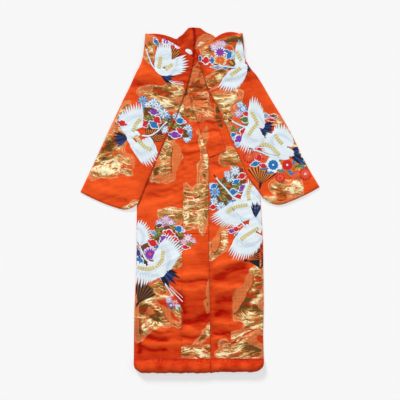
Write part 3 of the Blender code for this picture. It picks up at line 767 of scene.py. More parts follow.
class Nodes:
    """Adds nodes to a tree and links them in one call."""

    def __init__(self, tree):
        self.tree = tree

    def add(self, kind, links=None, **values):
        node = self.tree.nodes.new(kind)
        for name, value in values.items():
            setattr(node, name, value)
        for socket, source in (links or {}).items():
            target = node.inputs[socket]
            if isinstance(source, bpy.types.NodeSocket):
                self.tree.links.new(source, target)
            else:
                target.default_value = source
        return node

    def math(self, operation, *values):
        return self.add("ShaderNodeMath", dict(enumerate(values)), operation=operation).outputs[0]

    def chain(self, operation, values):
        total = values[0]
        for value in values[1:]:
            total = self.math(operation, total, value)
        return total

    def plus(self, *values):
        return self.chain("ADD", values)

    def times(self, *values):
        return self.chain("MULTIPLY", values)

    def minus(self, a, b):
        return self.math("SUBTRACT", a, b)

    def weighted(self, *pairs):
        """Sum of values, each times its weight."""
        return self.plus(*(self.times(value, weight) for value, weight in pairs))

    def mix(self, share, a, b):
        links = {"Factor": share, 6: a, 7: b}
        return self.add("ShaderNodeMix", links, data_type="RGBA").outputs[2]

    def step(self, value, low, high):
        links = {"Value": value, "From Min": low, "From Max": high}
        kinds = {"interpolation_type": "SMOOTHSTEP"}
        return self.add("ShaderNodeMapRange", links, **kinds).outputs["Result"]

    def ramp(self, value, stops):
        """Colours at places from 0 to 1."""
        node = self.add("ShaderNodeValToRGB", {0: value})
        elements = node.color_ramp.elements
        while len(elements) < len(stops):
            elements.new(0.5)
        for element, (place, colour) in zip(elements, stops):
            element.position = place
            element.color = (*colour, 1)
        return node.outputs[0]

    def noise(self, vector, scale, detail=3.0, roughness=0.5, distortion=0.0):
        links = {"Vector": vector, "Scale": scale, "Detail": detail}
        links.update({"Roughness": roughness, "Distortion": distortion})
        return self.add("ShaderNodeTexNoise", links).outputs["Fac"]

    def around_zero(self, value):
        return self.minus(value, 0.5)

    def mapped(self, vector, scale, turn=0.0, shift=(0, 0, 0)):
        """A vector scaled and turned about Z."""
        links = {"Vector": vector, "Location": shift, "Rotation": (0, 0, turn), "Scale": scale}
        return self.add("ShaderNodeMapping", links).outputs[0]

    def split(self, vector):
        return self.add("ShaderNodeSeparateXYZ", {0: vector}).outputs

    def joined(self, x=0.0, y=0.0, z=0.0):
        return self.add("ShaderNodeCombineXYZ", {0: x, 1: y, 2: z}).outputs[0]

    def mark(self, name):
        """A value or colour that the mesh holds."""
        return self.add("ShaderNodeAttribute", attribute_name=name).outputs

    def bump(self, height, distance, **links):
        links = {"Height": height, "Distance": distance, **links}
        return self.add("ShaderNodeBump", links).outputs[0]

    def group(self, tree, **links):
        return self.add("ShaderNodeGroup", links, node_tree=tree).outputs

    def put_out(self, **values):
        """Ends a group with single values under these names."""
        for label in values:
            self.tree.interface.new_socket(label, in_out="OUTPUT", socket_type="NodeSocketFloat")
        self.add("NodeGroupOutput", values)
        return self.tree


def new_group(name, **inputs):
    """A shader group that takes a vector and the given single values."""
    group = bpy.data.node_groups.new(name, "ShaderNodeTree")
    group.interface.new_socket("Vector", in_out="INPUT", socket_type="NodeSocketVector")
    for label, default in inputs.items():
        socket = group.interface.new_socket(label, in_out="INPUT", socket_type="NodeSocketFloat")
        socket.default_value = default
    nodes = Nodes(group)
    return nodes, nodes.add("NodeGroupInput").outputs


def weave_group():
    """Satin weave: height of the threads and a slight change of tint from thread to thread."""
    nodes, given = new_group("silk_weave", Threads=900.0)
    parts = nodes.split(given["Vector"])
    warp = nodes.math("SINE", nodes.times(parts[0], given["Threads"]))
    weft = nodes.math("SINE", nodes.times(parts[1], given["Threads"], 2.6))
    slub = nodes.noise(nodes.mapped(given["Vector"], (18, 260, 1)), 1.0, 4.0, 0.6)
    return nodes.put_out(Height=nodes.weighted((warp, 0.35), (weft, 0.65)), Tint=slub)


def crinkle_group():
    """Crushed metal yarn: flat streaks across the cloth, finer wrinkles and broad light and shade."""
    nodes, given = new_group("foil_crinkle")
    drift = nodes.add("ShaderNodeTexNoise", {"Vector": given["Vector"], "Scale": 5.0, "Detail": 1.0})
    small = {0: drift.outputs["Color"], 1: (0.12, 0.12, 0)}
    drift = nodes.add("ShaderNodeVectorMath", small, operation="MULTIPLY")
    vector = nodes.add("ShaderNodeVectorMath", {0: given["Vector"], 1: drift.outputs[0]}).outputs[0]
    streak = nodes.noise(nodes.mapped(vector, (12, 46, 1), -0.34), 1.0, 4.0, 0.55, 0.8)
    broad = nodes.noise(vector, 24.0, 3.0, 0.6, 1.0)
    fine = nodes.noise(vector, 125.0, 2.0, 0.6)
    crest = nodes.noise(nodes.mapped(vector, (10, 34, 1), -0.60), 1.0, 2.0, 0.5, 0.6)
    crest = nodes.math("ABSOLUTE", nodes.around_zero(crest))
    return nodes.put_out(
        Height=nodes.weighted((streak, 0.8), (broad, 0.5), (fine, 0.12)),
        Shade=nodes.weighted((streak, 0.50), (broad, 0.24), (fine, 0.26)),
        Gaps=nodes.noise(nodes.mapped(vector, (12, 34, 1), 0.0, (3, 5, 0)), 1.0, 3.0, 0.6, 0.8),
        Ridge=nodes.minus(1.0, nodes.step(crest, 0.0, 0.045)),
    )


def cloud_group():
    """A woven cloud from its field: outline, lattice border, wavy contour lines and solid metal."""
    nodes, given = new_group("woven_cloud", Field=0.0, Lit=0.0)
    vector, lit = given["Vector"], given["Lit"]
    wander = nodes.times(nodes.around_zero(nodes.noise(vector, 10.0, 1.0, 0.40, 0.4)), 17.0)
    ragged = nodes.times(nodes.around_zero(nodes.noise(vector, 36.0, 2.0, 0.5, 0.6)), 1.6)
    smooth = nodes.plus(given["Field"], wander)
    field = nodes.plus(smooth, ragged)
    border = nodes.times(nodes.step(nodes.noise(vector, 7.0, 1.0), 0.40, 0.60), 7.5)
    narrow = nodes.minus(1.0, nodes.step(lit, 0.05, 0.55))
    netting = nodes.minus(1.0, nodes.step(lit, -1.9, -1.3))
    border = nodes.plus(nodes.times(border, narrow), 0.8, nodes.times(netting, 14.0))
    past = nodes.minus(field, border)
    solid = nodes.step(past, -0.8, 1.0)
    waves = nodes.step(nodes.math("SINE", nodes.times(smooth, 2.1)), 0.50, 1.0)
    netted = nodes.times(nodes.step(field, 0.0, 0.8), nodes.minus(1.0, solid))
    rim = nodes.minus(1.0, nodes.step(nodes.math("ABSOLUTE", past), 0.2, 1.0))
    lines = nodes.math("MAXIMUM", nodes.times(waves, netted), nodes.times(rim, 0.6))
    x, y, _ = nodes.split(vector)
    slants = nodes.plus(x, y), nodes.minus(x, y)
    crossing = [nodes.math("SINE", nodes.times(slant, 400.0)) for slant in slants]
    return nodes.put_out(
        Inside=nodes.step(field, -0.3, 0.5),
        Solid=solid,
        Lines=nodes.times(lines, 0.55),
        Lattice=nodes.times(*crossing),
    )


def stitch_group():
    """Satin stitches: threads along a figure, with a little change from one to the next."""
    nodes, given = new_group("satin_stitch", Threads=70.0)
    parts = nodes.split(given["Vector"])
    place = nodes.times(nodes.plus(parts[0], nodes.times(parts[1], 0.25)), given["Threads"])
    tint = nodes.noise(nodes.joined(place, nodes.times(parts[1], 3.0)), 1.2, 2.0)
    return nodes.put_out(Height=nodes.math("ABSOLUTE", nodes.math("SINE", place)), Tint=tint)


def new_material(name):
    material = bpy.data.materials.new(name)
    material.use_nodes = True
    return material, Nodes(material.node_tree), material.node_tree.nodes["Principled BSDF"]


def silk_material(name, groups, gold_share):
    """Satin silk with shade painted into its folds, wrinkles and crease lines, darker towards the collar and
    the hem, with woven metal clouds where the cloth's gold field says so.
    """
    material, nodes, shader = new_material(name)
    links = material.node_tree.links
    sizes = bpy.context.scene.uchikake_sizes
    place = nodes.add("ShaderNodeTexCoord").outputs["Object"]
    thread_map = nodes.add("ShaderNodeUVMap", uv_map="UVMap").outputs[0]
    weave = nodes.group(groups["weave"], Vector=thread_map, Threads=2600.0)
    crinkle = nodes.group(groups["crinkle"], Vector=place)
    # fold: how deep each place lies in its folds; painted into the colour as shade in the troughs, light on
    # the ridges.
    fold = nodes.mark("fold")["Fac"]
    x, y, _ = nodes.split(place)
    aside = nodes.times(nodes.math("ABSOLUTE", nodes.plus(x, 0.06)), 1.4)
    upper = nodes.times(nodes.step(y, 0.30, 0.95), nodes.minus(0.60, aside))
    lower = nodes.step(nodes.times(y, -1.0), 0.10, 0.60)
    broad = nodes.around_zero(nodes.noise(place, 6.0, 3.0, 0.55, 0.3))
    wrinkle = nodes.noise(nodes.mapped(place, (10, 44, 1), -0.22), 1.0, 4.0, 0.55, 0.9)
    slub = nodes.around_zero(weave["Tint"])
    # Painted shade: darker in the fold troughs and the wrinkle noise's troughs, lighter on their crests,
    # darker along thin crease lines (Ridge); with these, darker towards the collar and the hem, random tone
    # and the weave's slub.
    deeper = nodes.weighted(
        (upper, 0.9),
        (lower, 0.32),
        (fold, -0.42),
        (broad, 0.55),
        (nodes.around_zero(wrinkle), -0.55),
        (crinkle["Ridge"], 0.14),
        (slub, 0.30),
    )
    depth = nodes.plus(0.22 if gold_share else 0.12, deeper)
    silk = nodes.ramp(depth, ((0.0, sizes.silk), (1.0, sizes.deep_silk)))
    shader.inputs["Sheen Weight"].default_value = 0.02
    shader.inputs["Sheen Roughness"].default_value = 0.4
    shader.inputs["Specular IOR Level"].default_value = 0.26
    shader.inputs["Specular Tint"].default_value = (1.0, 0.24, 0.08, 1)
    if not gold_share:
        links.new(silk, shader.inputs["Base Color"])
        shader.inputs["Roughness"].default_value = 0.62
        rumpled = nodes.bump(wrinkle, 0.002)
        links.new(nodes.bump(weave["Height"], 0.00004, Normal=rumpled), shader.inputs["Normal"])
        return material
    # Painted light on the gold: highlights where shine is above 0, shade where it is below, lighter on the
    # fold ridges, bright lines along the foil's crests, and the light and shade of crushed foil from the
    # crinkle noise.
    shine = nodes.mark("shine")["Fac"]
    cloud = nodes.group(groups["cloud"], Field=nodes.mark("gold")["Fac"], Lit=shine, Vector=place)
    lit, unlit = nodes.math("MAXIMUM", shine, 0.0), nodes.math("MINIMUM", shine, 0.0)
    crushed_foil_light_and_shade = nodes.times(nodes.around_zero(crinkle["Shade"]), nodes.plus(2.2, nodes.times(lit, 1.6)))
    crest_highlight = nodes.times(crinkle["Ridge"], nodes.plus(0.38, nodes.times(lit, 0.50)))
    tone = nodes.plus(nodes.weighted((unlit, 0.62), (lit, 0.22), (fold, 0.14)), crest_highlight, crushed_foil_light_and_shade, 0.28)
    stops = (
        (0.04, sizes.gold_dark),
        (0.38, sizes.gold_middle),
        (0.62, sizes.gold_pale),
        (0.86, sizes.gold_bright),
    )
    metal = nodes.ramp(tone, stops)
    spare = nodes.minus(1.0, nodes.step(tone, 0.50, 0.75))
    gaps = nodes.times(nodes.step(crinkle["Gaps"], 0.52, 0.60), nodes.times(spare, 0.85))
    metal = nodes.mix(1 - gold_share, nodes.mix(gaps, metal, silk), silk)
    lattice = nodes.plus(0.20, nodes.times(nodes.step(cloud["Lattice"], 0.0, 0.5), 0.55))
    yarns = sizes.gold_bright, sizes.gold_middle, sizes.gold_pale
    bright, middle, pale = ((*colour, 1) for colour in yarns)
    netted = nodes.mix(lattice, silk, nodes.mix(0.2, middle, pale))
    base = nodes.mix(cloud["Solid"], netted, metal)
    line = nodes.times(cloud["Lines"], nodes.step(tone, 0.0, 0.7), gold_share**3)
    base = nodes.mix(line, base, nodes.mix(0.35, bright, middle))
    links.new(nodes.mix(cloud["Inside"], silk, base), shader.inputs["Base Color"])
    foil = nodes.times(cloud["Solid"], cloud["Inside"])
    links.new(nodes.times(foil, 0.24), shader.inputs["Metallic"])
    links.new(nodes.minus(0.62, nodes.times(foil, 0.19)), shader.inputs["Roughness"])
    relief = nodes.plus(nodes.times(crinkle["Height"], foil), nodes.times(wrinkle, 0.9))
    crushed = nodes.bump(relief, 0.0022, Strength=1.0)
    links.new(nodes.bump(weave["Height"], 0.00003, Normal=crushed), shader.inputs["Normal"])
    return material


def embroidery_material(groups):
    """Floss in each figure's own colour, read from the mesh."""
    material, nodes, shader = new_material("embroidery_floss")
    links = material.node_tree.links
    own = nodes.add("ShaderNodeUVMap", uv_map="UVMap").outputs[0]
    stitch = nodes.group(groups["stitch"], Vector=own, Threads=34.0)
    value = nodes.plus(0.72, nodes.times(stitch["Tint"], 0.5))
    tint = nodes.add("ShaderNodeHueSaturation", {"Color": nodes.mark("thread")["Color"], "Value": value})
    links.new(tint.outputs[0], shader.inputs["Base Color"])
    links.new(nodes.mark("metal")["Fac"], shader.inputs["Metallic"])
    shader.inputs["Roughness"].default_value = 0.65
    shader.inputs["Specular IOR Level"].default_value = 0.25
    shader.inputs["Sheen Weight"].default_value = 0.04
    links.new(nodes.bump(stitch["Height"], 0.00025, Strength=0.6), shader.inputs["Normal"])
    return material


# ---------------------------------------------------------------- embroidery figures


def small_mesh(name, points, faces, uvs):
    """The mesh of one figure, with its own map."""
    mesh = bpy.data.meshes.new(name)
    mesh.from_pydata(points, [], faces)
    layer = mesh.uv_layers.new(name="UVMap")
    for loop in mesh.loops:
        layer.data[loop.index].uv = uvs[loop.vertex_index]
    smooth_faces(mesh)
    return mesh


def figure_mesh(name, outline, rings):
    """A small cushion of floss over an outline, its rim sunk a little into the cloth."""
    points, faces, uvs = [], [], []
    count = len(outline)
    centre = np.mean(outline, axis=0)
    for ring in range(rings, 0, -1):
        share = ring / rings
        for x, y in outline:
            px, py = centre[0] + (x - centre[0]) * share, centre[1] + (y - centre[1]) * share
            points.append((px, py, math.sqrt(max(0.0, 1 - share**2)) - 0.25 * (ring == rings)))
            uvs.append((px, py))
    hub = len(points)
    points.append((centre[0], centre[1], 1.0))
    uvs.append(tuple(centre))
    for ring in range(rings):
        for k in range(count):
            a, b = ring * count + k, ring * count + (k + 1) % count
            faces.append((a, b, hub) if ring == rings - 1 else (a, b, b + count, a + count))
    return small_mesh(name, points, faces, uvs)


def blade_mesh(name, width_at, across, lengthwise):
    """A long figure from y = 0 to y = 1 whose half width follows a rule."""
    points, faces, uvs = [], [], []
    for j in range(lengthwise + 1):
        y = j / lengthwise
        for i in range(across + 1):
            side = 2 * i / across - 1
            rim = abs(side) == 1 or j in (0, lengthwise)
            points.append((side * width_at(y), y, -0.25 if rim else 1 - 0.55 * side**2))
            uvs.append((side * 0.5, y))
            if j < lengthwise and i < across:
                a = j * (across + 1) + i
                faces.append((a, a + 1, a + across + 2, a + across + 1))
    return small_mesh(name, points, faces, uvs)


def strip_width(y):
    return 0.5


def wedge_width(y):
    return 0.5 * (0.12 + 0.88 * y)


def feather_width(y):
    """Half width of a flight feather: narrow at its root, full past the middle, then a point."""
    if y < 0.62:
        return 0.5 * (0.45 + 0.55 * math.sin(math.pi / 2 * y / 0.62))
    return 0.5 * (1 - ((y - 0.62) / 0.38) ** 1.25) * 0.98 + 0.006


def figure_collection():
    """The figures that all the embroidery repeats, in the order of their numbers."""
    turn = np.linspace(0, 2 * math.pi, 12, endpoint=False)
    petal = np.stack([0.5 * np.sin(turn), 0.5 - 0.5 * np.cos(turn)], axis=-1)
    turn = np.linspace(0, 2 * math.pi, 32, endpoint=False)
    corner = 0.5 / (np.abs(np.cos(turn)) + np.abs(np.sin(turn)))
    reach = corner * (0.95 + 0.19 * np.abs(np.sin(4 * turn)))
    lozenge = np.stack([reach * np.cos(turn), reach * np.sin(turn)], axis=-1)
    made = (
        blade_mesh("a_feather", feather_width, 4, 9),
        figure_mesh("b_petal", petal, 2),
        figure_mesh("c_lozenge", lozenge, 3),
        blade_mesh("d_strip", strip_width, 2, 10),
        blade_mesh("e_wedge", wedge_width, 2, 6),
    )
    collection = bpy.data.collections.new("embroidery_figures")
    bpy.context.scene.collection.children.link(collection)
    for mesh in made:
        collection.objects.link(bpy.data.objects.new(mesh.name, mesh))
    return collection


def step(at, turn, reach):
    angle = math.radians(turn)
    return at[0] + math.cos(angle) * reach, at[1] + math.sin(angle) * reach


class Layout:
    """Collects the figures of one piece of embroidery. Places and sizes are in squares."""

    def __init__(self):
        self.rows = []

    def add(self, shape, at, turn, long, wide, thread, level, relief=1.0, metal=0.0):
        """at, long and wide in squares; turn in degrees from +X, along the figure."""
        self.rows.append((shape, at[0], at[1], turn, long, wide, thread, level, relief, metal))

    def each(self, figure, *rows):
        """Draws one figure for each row of its values."""
        for row in rows:
            figure(*row)

    def band(self, points, wide=3.5):
        """A band of small gold scales along a line."""
        line = rounded_line(points)
        count = max(4, round(run_of(line)[-1] / 1.15))
        spots = along(line, np.linspace(0, 1, count))
        for k, (spot, after) in enumerate(zip(spots, spots[1:])):
            turn = bearing(spot, after)
            thread = "cream" if k % 2 else "straw"
            for side in (-1, 1):
                at = step(spot, turn - 90 * side, wide * 0.5)
                self.add(FEATHER, at, turn + 58 * side, wide * 0.80, 2.3, thread, 8.4 + 0.02 * k, 0.2)

    def wing(self, root, tips, band=(), level=4.2):
        """A spread wing: pointed feathers from its root line to its tips, and shorter rows over them."""
        tip_line = rounded_line(tips)
        around = run_of(tip_line)[-1]
        count = max(7, round(around / 2.5))
        shares = np.linspace(0, 1, count)
        starts, ends = along(np.array(root, float), shares), along(tip_line, shares)
        rows = ((1.0, "white", 1.0), (0.86, "white", 1.7), (0.66, "shade", 1.8), (0.44, "white", 2.2))
        for row, (part, thread, lap) in enumerate(rows):
            wide = lap * (around / count) * (0.55 + 0.45 * part) + 0.4
            for k, (a, b) in enumerate(zip(starts, ends)):
                turn = bearing(a, b)
                reach = math.dist(a, b) * part
                if row == 0:
                    reach += 1.6 if k % 2 else 0.4
                at, high = step(a, turn + 180, 1.0), level + 0.5 * row + 0.05 * k
                self.add(FEATHER, at, turn, reach + 1.0, wide, thread, high, 0.4)
        if band:
            self.band(band)

    def crane(self, body, heading, wings, neck, tail, size=1.0, legs=(), tail_level=4.4):
        """A flying crane. wings: root, tips and band; neck: points; tail: place, turns and reach."""
        tail_at, first, last, tail_reach = tail
        count = max(6, round(abs(last - first) / 7.5))
        for k in range(count):
            turn = first + (last - first) * k / (count - 1)
            thread = ("navy", "black", "ink", "navy", "ink")[k % 5]
            reach = tail_reach * (1.06 if k % 2 else 0.86)
            self.add(FEATHER, tail_at, turn, reach, tail_reach * 0.16, thread, tail_level + 0.04 * k, 0.6)
        for start, turn, reach in legs:
            self.add(STRIP, start, turn, reach, 0.8, "white", 3.4, 0.7)
            self.add(STRIP, step(start, turn + 90, 1.3), turn + 3, reach * 0.92, 0.6, "rose", 3.4, 0.7)
        for root, tips, band in wings:
            self.wing(root, tips, band)
        for k in range(16):
            share = k / 15
            spot = step(body, heading, (6.5 - 9.5 * share) * size)
            wide = (2.6 + 4.6 * math.sin(math.pi * min(1.0, 0.10 + share * 0.8))) * size
            turn = heading + 180 + 16 * math.sin(k * 2.4)
            self.add(FEATHER, spot, turn, 6.0 * size, wide, "white", 6.6 + 0.03 * k, 0.5)
        shares = np.linspace(0, 1, 18)
        spots = along(rounded_line(neck), shares)
        for spot, before, after, share in zip(spots, (spots[0], *spots), (*spots[1:], spots[-1]), shares):
            turn = bearing(before, after)
            wide = (1.7 - 0.6 * share) * size
            behind = step(spot, turn, -1.2)
            self.add(PETAL, step(behind, turn - 90, 0.4), turn, 3.0, wide + 0.1, "ink", 6.6, 0.3)
            self.add(PETAL, behind, turn, 3.2, wide, "white", 7.6, 0.6)
        head = tuple(spots[-1])
        self.add(PETAL, step(head, turn, -0.8), turn, 3.0, 2.0, "white", 8.0, 0.7)
        self.add(PETAL, step(head, turn, 0.5), turn, 1.6, 1.2, "red", 8.8, 0.5)
        self.add(FEATHER, step(head, turn, 1.8), turn, 4.4, 1.1, "black", 8.0, 0.7)

    def maple(self, at, size, turn, thread="white", heart="sky"):
        """Eight pointed leaves round a point, one colour inside another."""
        under = {"white": "steel", "lilac": "mauve", "rose": "wine"}.get(thread, "blue")
        rings = ((1.02, under, 22), (0.96, thread, 0), (0.5, heart, 22), (0.22, "gold", 0))
        for ring, (part, colour, shift) in enumerate(rings):
            for k in range(8):
                reach = size * part * (0.56 if k % 2 else 0.49)
                wide = reach * (0.46 if ring == 1 else 0.6)
                high = 0.8 + 0.5 * ring + 0.02 * k
                self.add(FEATHER, at, turn + shift + 45 * k, reach, wide, colour, high, 0.5)

    def lozenge(self, at, long, wide, turn, thread, level=2.5):
        """A pine lozenge with a white rim and pale stitches across its middle."""
        long, wide = long * 1.12, wide * 1.12
        self.add(LOZENGE, at, turn, long, wide, "white", level, 0.3)
        self.add(LOZENGE, at, turn, long * 0.88, wide * 0.82, thread, level + 0.5, 0.5)
        for k in range(3):
            spot = step(step(at, turn, (k - 1) * long * 0.17), turn + 90, -wide * 0.06)
            self.add(STRIP, spot, turn + 90 + (1 - k) * 30, wide * 0.22, 0.42, "rose", level + 1.6, 0.3)

    def leaf(self, at, long, wide, turn, thread="green"):
        """Overlapping needles inside a gold outline."""
        self.add(LOZENGE, at, turn, long, wide, "gold", 1.9, 0.3, 0.4)
        for k in range(4):
            spot = step(at, turn, (k - 2.0) * long * 0.2)
            self.add(FEATHER, spot, turn + 20 * (-1) ** k, long * 0.42, wide * 0.36, thread, 2.7, 0.6)

    def mum(self, at, radius, thread, heart, petals=13, rim="white", level=2.2):
        """A full blossom: a rim, two rings of petals and a heart."""
        for ring, (part, colour) in enumerate(((1.0, rim), (0.84, thread), (0.52, thread))):
            for k in range(petals):
                turn = 360 * (k + 0.5 * (ring % 2)) / petals
                reach = radius * part
                wide = 2 * math.pi * reach / petals * (0.92 if ring == 1 else 1.25)
                self.add(PETAL, at, turn, reach, min(wide, reach), colour, level + 0.7 * ring, 0.35)
        self.add(PETAL, step(at, -90, radius * 0.2), 90, radius * 0.4, radius * 0.4, heart, level + 2.4, 0.5)

    def fan(self, pivot, radius, first, last, ribs_to, ground=("brown", "gold"), gap="orange", blades=0):
        """An open fan: pleats, ribs over a plain foot, and a black end."""
        blades = blades or max(5, round(abs(last - first) / 9))
        sweep = (last - first) / blades
        wide = 2 * radius * math.tan(math.radians(abs(sweep) / 2)) * 1.16
        foot, foot_wide = radius * ribs_to, wide * ribs_to
        for k in range(blades + 1):
            turn = first + sweep * k
            if k < blades:
                middle = turn + sweep / 2
                self.add(WEDGE, pivot, middle, radius, wide, ground[k % 2], 0.0, 0.2, 0.25)
                self.add(WEDGE, pivot, middle, foot, foot_wide, gap, 0.7, 0.2)
            self.add(WEDGE, pivot, turn, foot, 0.5 + foot_wide * 0.26, "black", 1.7, 0.3)
        middle = (first + last) / 2
        self.add(FEATHER, step(pivot, middle, 3.5), middle + 180, 8, 2.4, "black", 2.0, 0.5)
        self.add(FEATHER, step(pivot, middle + 8, 3.5), middle + 188, 8, 1.8, "brown", 1.9, 0.5)


def shoulder_fan_and_blossoms(made):
    """The fan that runs from the right sleeve on to the front."""
    made.each(
        made.fan,
        ((-53, 57), 43, 8, 36, 0.42, ("brown", "brown"), "amber", 4),
        ((-53, 57), 36, 36, 94, 0.5, ("brown", "brown"), "amber", 7),
    )
    made.each(
        made.maple,
        ((-57, 99), 9, 10, "sky", "blue"), ((-46, 97), 9, 30, "white", "sky"),
        ((-56, 91), 7, 0, "sky", "blue"), ((-52, 94), 8, 20, "white", "white"),
        ((-42, 92), 10, 5, "white", "white"), ((-36, 86), 10, 35, "white", "sky"),
        ((-33, 82), 9, 0, "sky", "blue"), ((-23, 83), 9, 12, "white", "white"),
        ((-12, 71), 9, 20, "white", "sky"), ((-11, 65), 8, 0, "sky", "blue"),
        ((-13, 61), 8, 30, "white", "white"), ((-35, 70), 8, 8, "white", "white"),
    )
    made.each(
        made.lozenge,
        ((-46, 88), 13, 8, -12, "purple"), ((-43, 80), 11, 8, -42, "red"), ((-55, 76), 10, 8, -60, "red"),
        ((-46, 75), 12, 8, -35, "blue"), ((-20, 79), 13, 7, -14, "blue"), ((-19, 69), 11, 8, -28, "red"),
        ((-25, 65), 14, 8, -10, "purple"),
    )
    made.each(
        made.leaf,
        ((-52, 82), 11, 5, -8), ((-34, 80), 10, 4, 8), ((-25, 74), 12, 5, -12), ((-48, 83), 7, 4, 10),
        ((-30, 75), 7, 4, 30),
    )


def layout_sleeve_right():
    made = Layout()
    shoulder_fan_and_blossoms(made)
    made.maple((-77, 82), 10, 10)
    made.lozenge((-77.5, 76.5), 12, 7, -18, "red", 8.0)
    made.crane(
        (-66, 66), -10,
        (
            (
                ((-74, 67), (-59, 73)), ((-81, 81), (-78, 88), (-72, 93), (-65, 96), (-58, 96)),
                ((-67, 68), (-64, 75), (-59, 81)),
            ),
            (
                ((-73, 66), (-64, 56), (-51, 62)), ((-60, 39), (-56, 35), (-50, 34), (-45, 36), (-41, 43)),
                ((-64, 64), (-60, 58), (-55, 53), (-49, 50)),
            ),
        ),
        ((-57, 64), (-50, 64), (-43, 68), (-38, 73), (-34, 77)), ((-72, 62), 150, 222, 14),
    )
    made.fan((-32, 137), 18, 34, 96, 0.88, ("brown", "gold"), "amber", 7)
    made.mum((-34, 158), 4.2, "purple", "rose", 9)
    made.maple((-27, 157), 7, 0, "lilac", "white")
    made.mum((-22, 154), 3.4, "lilac", "blue", 8)
    made.lozenge((-44, 158), 9, 5, -65, "blue")
    made.leaf((-42, 155), 7, 4, -65, "teal")
    made.crane(
        (-40, 129), 150,
        (
            (
                ((-44, 131), (-30, 135)), ((-42, 154), (-38, 158), (-34, 159), (-30, 157)),
                ((-41, 131), (-40, 137), (-39, 143)),
            ),
            (
                ((-38, 125), (-30, 136)), ((-18, 126), (-13, 131), (-12, 137), (-15, 144)),
                ((-34, 130), (-30, 133), (-27, 135)),
            ),
        ),
        ((-45, 131), (-48, 135), (-50, 140), (-52, 145), (-53, 149)), ((-39, 125), -52, -8, 14), 0.9,
        (((-38, 124), -37, 16), ((-28, 117), -10, 12)),
    )
    return made


def layout_neck():
    made = Layout()
    made.add(PETAL, (-14.5, 150), -30, 8, 4.4, "white", 0.8, 0.4)
    return made


